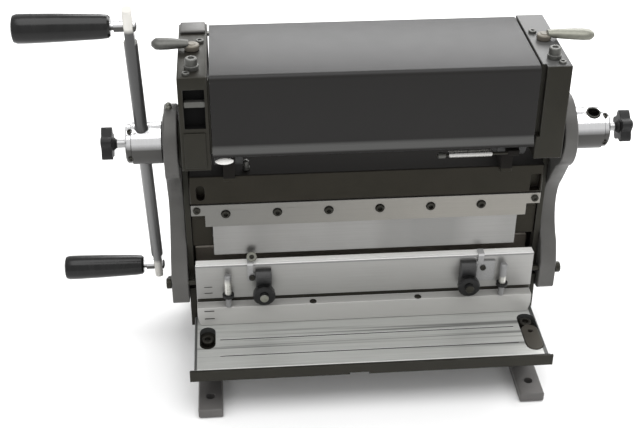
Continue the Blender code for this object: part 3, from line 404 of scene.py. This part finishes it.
def cover_finish():
    """Sheet paint, with a painted highlight that makes the flared lip paler, above its shaded lower edge."""
    n = painted("cover_paint", grey=0.011, rough=0.37, grain=1200.0, tint=(1.08, 1.0, 0.9), wear=0.15,
                gloss=0.225, cloudy=0.25)
    n.plain("Specular Tint", (0.955, 0.965, 1.0, 1.0))
    lip_top, shaded_edge = 277.0, 270.3
    lip = n.times(n.along("Z", lip_top + 1.5, lip_top - 1.5),
                  n.along("Z", shaded_edge - 0.7, shaded_edge + 0.7))
    # Painted highlight on the flared lip.
    n.blend_shader(lip, rgba(0.068, CREAM), rough=0.5, metallic=0.0, gloss=0.3)
    return n


def table_finish():
    """Planed table with long dull streaks, paint on its end margins, and painted shade below its face, in the
    grooves and on the edges.
    """
    n = metal("table_steel", grey=0.55, rough=0.42, stretch=ALONG_X, tint=(0.985, 1.0, 0.965),
              metallic=0.5, contrast=0.1)
    right_margin, left_margin, fade = 4.4, 3.0, 0.6
    right_start, left_start = TABLE_HIGH.x - right_margin, left_margin - TABLE_HIGH.x
    margin = n.most(n.along("X", right_start, right_start + fade),
                    n.along("X", left_start, left_start - fade))
    # Painted shade on all that lies below the planed face: grooves and edges.
    painted_shade_below_face = n.along("Z", TABLE_HIGH.z - 0.25, TABLE_HIGH.z - 0.55)
    streaks = n.spread(n.noise(scale=1.0, detail=2.0, stretch=BROAD_STREAKS), 0.0, 0.75, start=0.56, end=0.68)
    covered = n.most(n.most(margin, painted_shade_below_face), streaks)
    n.blend_shader(covered, rgba(0.085, (0.98, 1.0, 0.97)), rough=0.45, metallic=0.3)
    return n


def blade_finish():
    """Ground plate with soft upright bands of duller metal."""
    n = metal("blade_steel", grey=0.28, rough=0.34, stretch=ALONG_X, stain=0.3, metallic=0.85)
    bands = n.spread(n.noise(scale=1.0, detail=1.0, stretch=UPRIGHT_BANDS), 0.0, 0.6, start=0.42, end=0.62)
    n.blend_shader(bands, rgba(0.2, CREAM), rough=0.38, metallic=0.75)
    return n


def strip_finish():
    """Warm flat steel, duller towards its left end."""
    n = metal("strip_steel", grey=0.26, rough=0.38, stretch=ALONG_X, tint=(1.0, 0.96, 0.87), metallic=0.75,
              stain=0.4)
    duller = n.spread(n.along("X", 60.0, -150.0), 0.0, 0.8, 0.0, 1.0)
    n.blend_shader(duller, rgba(0.16, (1.0, 1.0, 0.95)), rough=0.42, metallic=0.7)
    return n


def bed_finish():
    """Ground beam, with painted light: paler from its ledge down and a painted white highlight on its top;
    dull just below the top edge.
    """
    n = metal("bed_steel", grey=0.36, rough=0.4, stretch=ALONG_X, metallic=0.75)
    rim = BEAM_HIGH.z
    # Painted light: a white highlight along the top, and a paler tone from the ledge down.
    top = n.along("Z", rim - 0.5, rim - 0.2)
    line = n.times(n.along("Z", rim - 3.3, rim - 2.3), n.along("Z", rim - 0.6, rim - 1.0))
    ledge_painted_light = n.along("Z", LEDGE_TOP + 7.0, LEDGE_TOP + 5.0)
    painted_light_tone = n.mix(top, rgba(0.42, (1.0, 0.99, 0.95)), rgba(0.95, (1.0, 1.0, 0.98)))
    covered = n.most(ledge_painted_light, n.most(top, line))
    n.blend_shader(covered, n.mix(line, painted_light_tone, rgba(0.22)), rough=0.45, metallic=0.1)
    return n


def knob_finish():
    """Black star knob on a bright stem."""
    n = plastic("knob_moulding", grey=0.006, rough=0.5)
    stem = n.outwards(KNOB_STEM, KNOB_STEM - 0.4)
    n.blend_shader(stem, rgba(0.4), rough=0.3, metallic=0.8)
    return n


BRACKET = bracket_finish().material
CASTING = casting("casting_paint").material
RAM_PAINT = ram_finish().material
POCKETED = pocketed_finish().material
DIE = painted("die_steel", grey=0.13, rough=0.6, grain=500.0, wear=0.08, gloss=0.1).material
# Near-black paint for the thin sheets that stand in for shade in the gaps at the die and the ram's lugs.
SHADE_FILL = painted("shade_fill_paint", grey=0.035, rough=0.6, grain=500.0, wear=0.08, gloss=0.1).material
FOOT_PAINT = painted("foot_paint", grey=0.095, rough=0.45, grain=500.0, tint=(1.02, 0.98, 0.95), gloss=0.4,
                     wear=0.5).material
FRAME_PAINT = painted("frame_paint", grey=0.07, rough=0.42, grain=800.0, tint=(1.0, 0.98, 0.94), gloss=0.5,
                      wear=0.6).material
COVER = cover_finish().material
TABLE = table_finish().material
BED = bed_finish().material
BLADE = blade_finish().material
# Near-white paint that stands in for a highlight: the lower blade's top, the line at its seat and the glint
# on the left yoke.
PAINTED_HIGHLIGHT = metal("blade_edge_painted_highlight", grey=0.95, rough=0.45, stretch=ALONG_X, stain=0.02, metallic=0.0).material
STRIP = strip_finish().material
GROUND = metal("ground_steel", grey=0.46, rough=0.27, stretch=ROUND_X).material
SHAFT_STEEL = shaft_finish().material
BAR = metal("bar_steel", grey=0.34, rough=0.34, stretch=ALONG_Z, tint=(1.0, 1.0, 0.93),
            metallic=0.9).material
UPPER_BAR = lever_finish("upper_bar_steel", grey=0.24, shade=0.07, start=391.0, end=396.0,
                         bright=0.7).material
LOWER_BAR = lever_finish("lower_bar_steel", grey=0.5, shade=0.17, start=96.0, end=91.0,
                         bright=0.5).material
CHROME = hub_finish().material
PIN = gauge_pin_finish().material
ZINC = metal("zinc_plate", grey=0.2, rough=0.42, stretch=EVEN, tint=(1.0, 1.0, 0.84), metallic=0.6,
             contrast=0.12).material
DULL = metal("dull_zinc", grey=0.1, rough=0.45, stretch=EVEN, tint=(1.0, 1.0, 0.92), metallic=0.6,
             contrast=0.12).material
BOSS_PAINT = painted("boss_paint", grey=0.12, rough=0.42, grain=600.0, gloss=0.4, wear=0.6).material
BRONZE = metal("bearing_bronze", grey=0.5, rough=0.35, stretch=ROUND_X, tint=(1.0, 0.62, 0.28)).material
BLACK = plastic("black_moulding", grey=0.005, rough=0.2).material
KNOB = knob_finish().material
OXIDE = painted("black_oxide", grey=0.01, rough=0.4, grain=500.0, wear=0.4).material
DARK_BLOCK = painted("slot_block_paint", grey=0.035, rough=0.45, grain=700.0, wear=0.5).material
GUIDE = guide_finish().material

NODE_MATERIALS = {
    CASTING: ["base_casting", "left_ram_guide", "right_ram_guide"],
    BRACKET: ["right_roll_bracket"],
    POCKETED: ["left_roll_bracket"],
    RAM_PAINT: ["ram"],
    FRAME_PAINT: ["left_side_frame", "right_side_frame"],
    FOOT_PAINT: ["left_foot_bar", "right_foot_bar"],
    DARK_BLOCK: ["right_slot_block"],
    COVER: ["roll_cover", "left_cover_knuckle", "right_cover_knuckle"],
    TABLE: ["work_table"],
    BED: ["bed_beam"],
    PAINTED_HIGHLIGHT: ["lower_shear_blade"],
    BLADE: ["upper_shear_blade", "brake_punch"],
    STRIP: ["blade_clamp_strip"],
    GROUND: ["upper_roll", "lower_roll", "rear_roll"],
    SHAFT_STEEL: ["main_shaft"],
    BAR: ["upper_roll_gear", "lower_roll_gear", "cover_hinge_rod"],
    UPPER_BAR: ["upper_lever_rod"],
    LOWER_BAR: ["lower_lever_rod"],
    CHROME: ["left_hub", "right_hub", "upper_grip_spindle", "lower_grip_spindle"],
    PIN: ["left_gauge_pin", "right_gauge_pin"],
    BLACK: ["upper_grip", "lower_grip", "left_thumb_screw", "right_thumb_screw"],
    KNOB: ["left_lock_knob", "right_lock_knob"],
    OXIDE: ["left_table_screw", "right_table_screw", "left_toe_bolt", "right_toe_bolt",
            *("clamp_screw_%d" % i for i in range(1, 7))],
    DIE: ["brake_v_die"],
    GUIDE: ["left_guide_clamp", "right_guide_clamp"],
    BRONZE: ["left_shaft_bush", "right_shaft_bush"],
    DULL: ["left_roll_screw", "right_roll_screw", "left_cam_lever", "right_cam_lever"],
}


def dress_nodes():
    """Gives each CAD node its material, and smooth shading that keeps hard edges hard."""
    for material, names in NODE_MATERIALS.items():
        for name in names:
            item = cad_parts[name]
            item.data.materials.clear()
            item.data.materials.append(material)
            if "custom_normal" in item.data.attributes:
                item.data.attributes.remove(item.data.attributes["custom_normal"])
            item.data.shade_smooth()
            weld = item.modifiers.new("Weld", "WELD")
            weld.merge_threshold = 0.01 * MM
            split = item.modifiers.new("HardEdges", "EDGE_SPLIT")
            split.split_angle = math.radians(32)


# ---------------------------------------------------------------- pieces

def smooth_mesh(name, cage, sharp):
    """Mesh from a cage, shaded smooth but for edges that turn by more than sharp degrees."""
    mesh = bpy.data.meshes.new(name)
    cage.to_mesh(mesh)
    cage.free()
    mesh.shade_smooth()
    mesh.set_sharp_from_angle(angle=math.radians(sharp))
    return mesh


def oval(cage, centre, first, second, sides):
    """Loop of corners around an ellipse, given its centre and two half axes."""
    angles = [2 * math.pi * i / sides for i in range(sides)]
    return [cage.verts.new(centre + first * math.cos(angle) + second * math.sin(angle)) for angle in angles]


def skin(cage, loops, sides):
    """Faces from each loop to the next, where a loop may also be a single corner."""
    for near, far in zip(loops, loops[1:]):
        for i in range(sides):
            j = i + 1
            ring = [near[i % len(near)], near[j % len(near)], far[j % len(far)], far[i % len(far)]]
            cage.faces.new(list(dict.fromkeys(ring)))


def finish_piece(name, mesh, body, material, where=None, turn=None):
    """Piece from a mesh, put in its place on a body, with its material."""
    item = bpy.data.objects.new(name, mesh)
    bpy.context.scene.collection.objects.link(item)
    mesh.materials.append(material)
    if where is not None:
        spin = turn or Matrix.Identity(3)
        mesh.transform(Matrix.Translation(where) @ spin.to_4x4())
    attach(item, body)
    return item


def turned(name, profile, where, axis, body, material, sides=24):
    """Turned piece from (radius, height) pairs, its height along axis."""
    cage = bmesh.new()
    loops = []
    for radius, height in profile:
        centre = UP * height * MM
        if radius:
            loops.append(oval(cage, centre, ACROSS * radius * MM, BACK * radius * MM, sides))
        else:
            loops.append([cage.verts.new(centre)])
    skin(cage, loops, sides)
    bmesh.ops.recalc_face_normals(cage, faces=cage.faces)
    turn = UP.rotation_difference(Vector(axis)).to_matrix()
    return finish_piece(name, smooth_mesh(name, cage, 35), body, material, where, turn)


def block(name, low_corner, high_corner, body, material, round_off):
    """Block between two corners, with its edges rounded off."""
    size = [high - low for low, high in zip(low_corner, high_corner)]
    centre = at(*[(low + high) / 2 for low, high in zip(low_corner, high_corner)])
    cage = bmesh.new()
    bmesh.ops.create_cube(cage, size=1.0, matrix=Matrix.Diagonal([side * MM for side in size] + [1.0]))
    bmesh.ops.bevel(cage, geom=cage.edges[:], offset=round_off * MM, segments=3, affect="EDGES",
                    profile=0.5)
    return finish_piece(name, smooth_mesh(name, cage, 35), body, material, centre)


def lofted(name, sections, body, material, sides=20):
    """Closed skin through elliptical sections: (centre, first half axis, second half axis)."""
    cage = bmesh.new()
    loops = [oval(cage, centre, first, second, sides) for centre, first, second in sections]
    skin(cage, loops, sides)
    cage.faces.new(loops[0])
    cage.faces.new(loops[-1])
    bmesh.ops.recalc_face_normals(cage, faces=cage.faces)
    return finish_piece(name, smooth_mesh(name, cage, 40), body, material)


def cap_screw(name, radius, height, where, axis, body, material):
    """Socket head with a round recess."""
    profile = [(0, height * 0.35), (radius * 0.45, height * 0.35), (radius * 0.5, height),
               (radius * 0.86, height), (radius, height * 0.84), (radius, 0), (0, 0)]
    return turned(name, profile, where, axis, body, material, sides=18)


def hex_bolt(name, radius, height, where, axis):
    """Hexagon head on a round washer, on the machine's frame."""
    washer = [(0, 0.9), (radius * 1.2, 0.9), (radius * 1.28, 0.5), (radius * 1.28, 0), (0, 0)]
    turned(name + "_washer", washer, where, axis, "machine_frame", OXIDE)
    head = [(0, height), (radius * 0.8, height), (radius, height * 0.82), (radius, 0), (0, 0)]
    turned(name, head, where + axis * MM, axis, "machine_frame", OXIDE, sides=6)


def cam_levers():
    """Cast release levers: a low round boss on the pivot and a stout arm with a blunt end."""
    boss = [(0, 6.2), (3.2, 6.2), (3.8, 5.6), (6.2, 5.2), (6.9, 4.4), (6.9, 0.8), (6.4, 0), (0, 0)]
    arm_height, climb = 5.7, 1.2
    arms = (("left", Vector((-1.0, -0.03, 0.0)), 34.0, DULL),
            ("right", Vector((1.0, -0.12, -0.03)), 43.0, ZINC))
    for word, way, reach, finish in arms:
        body = word + "_cam_lever"
        pivot = at(SIDES[word] * ROLL_SCREW.x, middle(body).y, BRACKET_HIGH.z + 0.4)
        piece = turned(word + "_cam_boss", boss, pivot, UP, body, BOSS_PAINT, sides=28)
        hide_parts(word + "_cam_lever")
        # Each station: its distance from the pivot, half width and half height.
        stations = ((3.0, 4.6, 3.2), (8.0, 5.2, 3.8), (14.0, 6.2, 4.4), (0.62 * reach, 7.4, 4.9),
                    (0.82 * reach, 8.0, 5.0), (0.95 * reach, 7.4, 4.8), (reach, 5.8, 3.8),
                    (reach + 2.2, 3.0, 2.0))
        sections = []
        for along, wide, high in stations:
            centre = pivot + (way * along + UP * (arm_height + climb * along / reach)) * MM
            sections.append((centre, BACK * wide * MM, UP * high * MM))
        arm = lofted(word + "_cam_arm", sections, body, finish)
        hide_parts(word + "_cam_lever")


def bed_details():
    """Screws and scribed lines on the bed beam, and a painted white highlight along the lower blade's seat.
    """
    flat_head = [(0, 0.3), (0.9, 0.3), (1.0, 0.9), (2.8, 0.9), (3.6, 0.3), (3.7, 0), (0, 0)]
    for word, side in SIDES.items():
        turned("ledge_screw_" + word, flat_head, at(side * 54.0, BEAM_FACE - 4.2, LEDGE_TOP + 0.1), UP,
               "machine_frame", OXIDE, sides=20)
    line_depth = 0.27
    lines = (("beam_mark", (-164.0, -156.0), BEAM_FACE - 0.15, 0.8, (96.0, 88.5)),
             ("ledge_mark", (-165.0, -155.0), BEAM_LOW.y - 0.25, 1.1, (71.5, 62.0)))
    for word, (left, right), front, thick, heights in lines:
        for i, height in enumerate(heights):
            block("%s_%d" % (word, i), (left, front, height), (right, front + line_depth, height + thick),
                  "machine_frame", OXIDE, round_off=0.08)
    # Painted highlight: a white line along the lower blade's seat.
    seat_end = EDGE_HIGH.x - 0.1
    block("blade_seat_highlight", (-seat_end, EDGE_LOW.y - 0.42, EDGE_HIGH.z - 0.8),
          (seat_end, EDGE_LOW.y + 0.1, EDGE_HIGH.z + 0.02), "machine_frame", PAINTED_HIGHLIGHT, round_off=0.05)


def guide_details():
    """Eye, screws and knob buttons on the side guides, and the dark back of the beam's groove."""
    left_end, top = GUIDE_BOX["left"][0].x, GUIDE_BOX["left"][1].z
    eye_way = leaning(68.2)
    ring = [(2.4, 2.6), (4.2, 2.8), (5.1, 2.1), (5.1, 0.6), (4.4, 0), (2.4, 0), (2.4, 2.6)]
    turned("left_guide_eye", ring, at(left_end + 4.8, -1.2, top + 4.0), eye_way, "left_guide", ZINC)
    plug = [(0, 0.9), (2.1, 0.9), (2.35, 0.4), (2.35, 0), (0, 0)]
    turned("left_guide_eye_plug", plug, at(left_end + 4.8, -1.6, top + 4.2), eye_way, "left_guide", OXIDE,
           sides=20)
    cupped = [(0, 0.8), (2.0, 0.8), (2.2, 1.5), (3.1, 1.5), (3.1, 0.0), (0, 0.0)]
    turned("left_guide_slot_screw", cupped, at(left_end + 4.5, -8.2, GUIDE_SCREW), FRONT, "left_guide",
           OXIDE, sides=18)
    groove_end, groove_floor = BEAM_HIGH.x - 0.4, -2.3
    block("bed_groove_shadow", (-groove_end, groove_floor - 0.32, LEDGE_TOP + 0.4),
          (groove_end, groove_floor, LEDGE_TOP + 5.8), "machine_frame", OXIDE, round_off=0.1)
    cap_screw("right_plate_screw", 3.0, 1.6, at(GUIDE_BOX["right"][1].x - 12.5, -8.0, GUIDE_SCREW), FRONT,
              "right_guide", OXIDE)
    button = [(0, 1.5), (2.6, 1.4), (4.1, 0.9), (4.5, 0), (0, 0)]
    for word, finish in (("left", ZINC), ("right", OXIDE)):
        screw = word + "_thumb_screw"
        centre = at(middle(screw).x, corners(screw)[0].y, middle(screw).z)
        turned(word + "_knob_button", button, centre, FRONT, screw, finish, sides=20)


def ram_details():
    """Near-black pieces that stand in for shade around the blade: a painted shadow line under the clamp strip
    and fillers at the lugs; and its clamp strip's tab screws.
    """
    gap, punch_top = 0.03, corners("brake_punch")[1].z
    # Painted shadow line: a near-black sheet that peeks out under the clamp strip.
    block("blade_shadow_line", (-152.0, STRIP_HIGH.y + gap, STRIP_LOW.z - 1.8),
          (152.0, BLADE_LOW.y - gap, STRIP_HIGH.z - 1.0), "ram", OXIDE, round_off=0.05)
    for word, side in SIDES.items():
        inner, outer = sorted((side * 150.0, side * 157.0))
        # Near-black sheets standing in for shade at the lugs.
        block(word + "_lug_shade_filler", (inner, 27.3, RAM_LOW.z + 2.0), (outer, 28.3, punch_top), "ram",
              SHADE_FILL, round_off=0.2)
        cap_screw(word + "_tab_screw", 3.6, 1.8, at(side * 167.0, 0.1, STRIP_HIGH.z - 5.8), FRONT, "ram",
                  OXIDE)


def yoke_details():
    """What shows of the ram's yokes under the cover, with a white oval on the left one that is a painted
    glint, and the oiler on the ram.
    """
    # Painted glint: a white oval piece on the left yoke.
    glint_x, half_length, half_depth, half_height = -137.6, 8.63, 2.0, 3.6
    blunt, count = math.radians(85.4), 9
    sections = []
    for i in range(count):
        angle = blunt * (2 * i / (count - 1) - 1)
        share = math.cos(angle) * MM
        centre = at(glint_x + half_length * math.sin(angle), YOKE_FRONT + 2.4, YOKE_HEIGHT)
        sections.append((centre, BACK * half_depth * share, UP * half_height * share))
    lofted("left_yoke_glint", sections, "ram", PAINTED_HIGHLIGHT)
    stem = [(0, 17.0), (2.2, 17.0), (2.6, 15.8), (2.6, 1.6), (4.2, 1.2), (4.4, 0), (0, 0)]
    turned("left_yoke_key_stem", stem, at(-134.0, RAM_LOW.y - 0.1, YOKE_HEIGHT), FRONT, "ram", OXIDE,
           sides=20)
    bar = [(0, 0), (2.7, 0), (3.3, 0.6), (3.3, 40.4), (2.7, 41.0), (0, 41.0)]
    turned("right_yoke_bar", bar, at(72.0, YOKE_FRONT, YOKE_HEIGHT + 0.2), ACROSS, "ram", GROUND, sides=28)
    collar = [(0, 0), (2.5, 0), (3.0, 0.6), (3.0, 6.4), (2.5, 7.0), (0, 7.0)]
    turned("right_yoke_bar_collar", collar, at(62.0, YOKE_FRONT, YOKE_HEIGHT - 0.6), ACROSS, "ram", DULL)
    spindle = [(0, 0), (1.1, 0), (1.5, 0.5), (1.5, 68.0), (0, 68.0)]
    turned("right_yoke_bar_spindle", spindle, at(60.5, YOKE_FRONT, YOKE_HEIGHT - 0.4), ACROSS, "ram", OXIDE,
           sides=20)
    block("right_yoke_bar_lug", (127.6, YOKE_FRONT - 1.6, YOKE_HEIGHT - 3.4),
          (139.2, YOKE_FRONT + 7.8, YOKE_HEIGHT + 2.6), "ram", RAM_PAINT, round_off=0.8)
    cup = [(0, 10.4), (1.5, 10.1), (2.8, 8.8), (3.0, 6.4), (3.0, 3.4), (3.6, 2.8), (3.6, 0), (0, 0)]
    turned("ram_oiler", cup, at(-117.4, 12.0, RAM_FACE_TOP + 0.9), UP, "ram", DULL, sides=18)


def frame_details():
    """Near-black fillers at the die's ends that stand in for shade, base bolts and bearing faces on the side
    frames, and an oiler.
    """
    ring = [(19.0, 1.3), (24.6, 1.3), (26.2, 0.8), (26.6, -1.6), (19.0, -1.6), (19.0, 1.3)]
    for word, side in SIDES.items():
        inner, outer = sorted((side * (DIE_HIGH.x + 0.1), side * (RAM_GUIDE_LOW.x - 0.1)))
        # Near-black blocks standing in for shade at the die's ends.
        block(word + "_guide_shade_filler", (inner, 34.5, DIE_LOW.z + 0.3), (outer, 61.0, 150.0), "machine_frame",
              SHADE_FILL, round_off=0.2)
        for i, (y, z) in enumerate(((26.0, 84.0), (52.0, 66.0), (84.0, 48.0))):
            hex_bolt("%s_base_bolt_%d" % (word, i), 5.6, 4.5, at(side * (FRAME_HIGH.x + 0.2), y, z),
                     ACROSS * side)
        turned(word + "_bearing_face", ring, at(side * (FRAME_HIGH.x - 4.1), SHAFT.y, SHAFT.z),
               ACROSS * side, "machine_frame", FRAME_PAINT, sides=40)
    cup = [(0, 4.2), (1.2, 5.0), (2.2, 4.4), (2.5, 3.0), (2.0, 2.4), (3.0, 1.7), (3.2, -1.0), (0, -1.0)]
    turned("left_oiler", cup, at(-187.0, SHAFT.y, FRAME_HIGH.z + 0.2), UP, "machine_frame", ZINC, sides=18)


def bracket_details():
    """Screws on the roll brackets, the left bracket's cap, pad and bearing bar, and a dark block that stands
    in for shade behind the gap at the cover's end.
    """
    top, front = BRACKET_HIGH.z, BRACKET_LOW.y
    for word, side in SIDES.items():
        cap_screw(word + "_bracket_screw", 3.8, 2.6, at(side * 156.0, 36.0, top), UP, "machine_frame", DULL)
        cap_screw(word + "_bracket_front_screw", 3.4, 2.2, at(side * 168.0, front + 7.0, top), UP,
                  "machine_frame", DULL)
    block("left_bracket_cap", (-174.5, 55.0, top - 0.2), (-151.0, 76.5, top + 3.0), "machine_frame",
          FRAME_PAINT, round_off=1.4)
    block("left_bearing_bar", (-171.2, front + 0.6, 317.0), (-150.0, front + 6.8, 322.5), "machine_frame",
          DULL, round_off=0.9)
    block("left_bracket_front_pad", (-173.0, front - 1.6, 256.0), (-153.0, front + 0.2, 292.0),
          "machine_frame", CASTING, round_off=0.8)
    # A dark block standing in for shade behind the gap at the cover's end.
    block("left_gap_shade_block", (-BRACKET_LOW.x - 0.1, front + 1.8, 270.0), (-147.95, front + 10.0, top - 4.0),
          "machine_frame", CASTING, round_off=0.3)


def hub_details():
    """Screws let into the hubs, and dark sleeves in the empty right socket."""
    screw = [(0, 0.2), (1.3, 0.2), (1.5, 1.2), (2.4, 1.2), (2.8, 0.8), (2.8, -1.0), (0, -1.0)]
    for word, side in SIDES.items():
        centre = at(side * (HUB_HIGH.x - 4.8), SHAFT.y, SHAFT.z)
        for i, degrees in enumerate((27.33, 111.7)):
            way = leaning(degrees)
            turned("%s_hub_screw_%d" % (word, i), screw, centre + way * (HUB_RADIUS - 1.2) * MM, way,
                   "main_shaft", OXIDE, sides=16)
    tilt = leaning(LEVER_TILT)
    sleeve = [(5.5, 20.4), (7.0, 20.2), (7.2, 19.2), (7.2, 15.5), (6.28, 15.5), (6.28, 8.0), (5.5, 8.0),
              (5.5, 20.4)]
    socket = at(-middle("upper_lever_rod").x, SHAFT.y, SHAFT.z)
    for word, way in (("top", tilt), ("bottom", -tilt)):
        turned("right_socket_sleeve_" + word, sleeve, socket, way, "main_shaft", OXIDE, sides=28)


def lever_details():
    """Bright eye washers where the grips' spindles meet the flattened rod ends."""
    nut = [(0, 2.2), (2.4, 2.6), (4.6, 1.8), (5.2, 0.9), (5.2, 0), (0, 0)]
    for word in ("upper", "lower"):
        spindle = middle(word + "_grip_spindle")
        rod = middle(word + "_lever_rod")
        turned(word + "_spindle_nut", nut, at(rod.x + 4.1, spindle.y, spindle.z), ACROSS, "main_shaft",
               CHROME, sides=20)


def back_details():
    """Fasteners that show from behind."""
    for i, x in enumerate((-120.0, -40.0, 40.0, 120.0)):
        cap_screw("die_screw_%d" % i, 4.4, 3.0, at(x, DIE_HIGH.y + 0.1, 98.0), BACK, "machine_frame", OXIDE)
        cap_screw("punch_screw_%d" % i, 4.4, 3.0, at(x, RAM_HIGH.y + 0.1, 178.0), BACK, "ram", OXIDE)
    for word, side in SIDES.items():
        for i, y in enumerate((22.0, 48.0)):
            hex_bolt("%s_bracket_bolt_%d" % (word, i), 4.6, 3.6, at(side * (BRACKET_LOW.x - 0.1), y, 270.0),
                     -ACROSS * side)


# ---------------------------------------------------------------- stage

def stage():
    """Pale floor just below the feet."""
    cage = bmesh.new()
    bmesh.ops.create_grid(cage, x_segments=1, y_segments=1, size=FLOOR_REACH)
    mesh = bpy.data.meshes.new("floor")
    cage.to_mesh(mesh)
    cage.free()
    floor = bpy.data.objects.new("floor", mesh)
    bpy.context.scene.collection.objects.link(floor)
    n = Nodes("pale_floor")
    n.link(n.mix(n.spread(n.noise(scale=3.0, detail=2.0), 0.0, 1.0), rgba(0.9), rgba(0.93)), "Base Color")
    n.plain("Roughness", 0.8)
    mesh.materials.append(n.material)
    floor.location.z = -FLOOR_DROP


def softbox(name, where, size, power):
    """Rectangular lamp that faces the machine."""
    lamp = bpy.data.lights.new(name, "AREA")
    lamp.shape = "RECTANGLE"
    lamp.size, lamp.size_y = size
    lamp.energy = power
    item = bpy.data.objects.new(name, lamp)
    bpy.context.scene.collection.objects.link(item)
    item.location = where
    item.rotation_euler = (Vector(LIGHT_TARGET) - Vector(where)).to_track_quat("-Z", "Y").to_euler()


def light():
    """White surroundings and two soft boxes."""
    world = bpy.data.worlds.new("studio")
    world.use_nodes = True
    back = world.node_tree.nodes["Background"]
    back.inputs["Color"].default_value = rgba(1.0)
    back.inputs["Strength"].default_value = SKY_STRENGTH
    bpy.context.scene.world = world
    bpy.context.scene.view_settings.view_transform = "Standard"
    for name, where, size, power in SOFTBOXES:
        softbox(name, where, size, power)


def camera():
    """Camera in front and to the left, looking down on the machine."""
    data = bpy.data.cameras.new("view")
    data.lens = CAMERA_LENS
    data.sensor_width = SENSOR_WIDTH
    item = bpy.data.objects.new("view", data)
    bpy.context.scene.collection.objects.link(item)
    down, turn = CAMERA_DOWN, CAMERA_TURN
    ahead = Vector((math.sin(turn) * math.cos(down), math.cos(turn) * math.cos(down), -math.sin(down)))
    right = Vector((math.cos(turn), -math.sin(turn), 0.0))
    above = right.cross(ahead)
    level = right * math.cos(CAMERA_ROLL) + above * math.sin(CAMERA_ROLL)
    top = above * math.cos(CAMERA_ROLL) - right * math.sin(CAMERA_ROLL)
    spin = Matrix((level, top, -ahead)).transposed()
    item.matrix_world = Matrix.Translation(at(*CAMERA_AT)) @ spin.to_4x4()
    bpy.context.scene.camera = item


dress_nodes()
cam_levers()
bed_details()
guide_details()
ram_details()
yoke_details()
frame_details()
bracket_details()
hub_details()
lever_details()
back_details()
stage()
light()
camera()
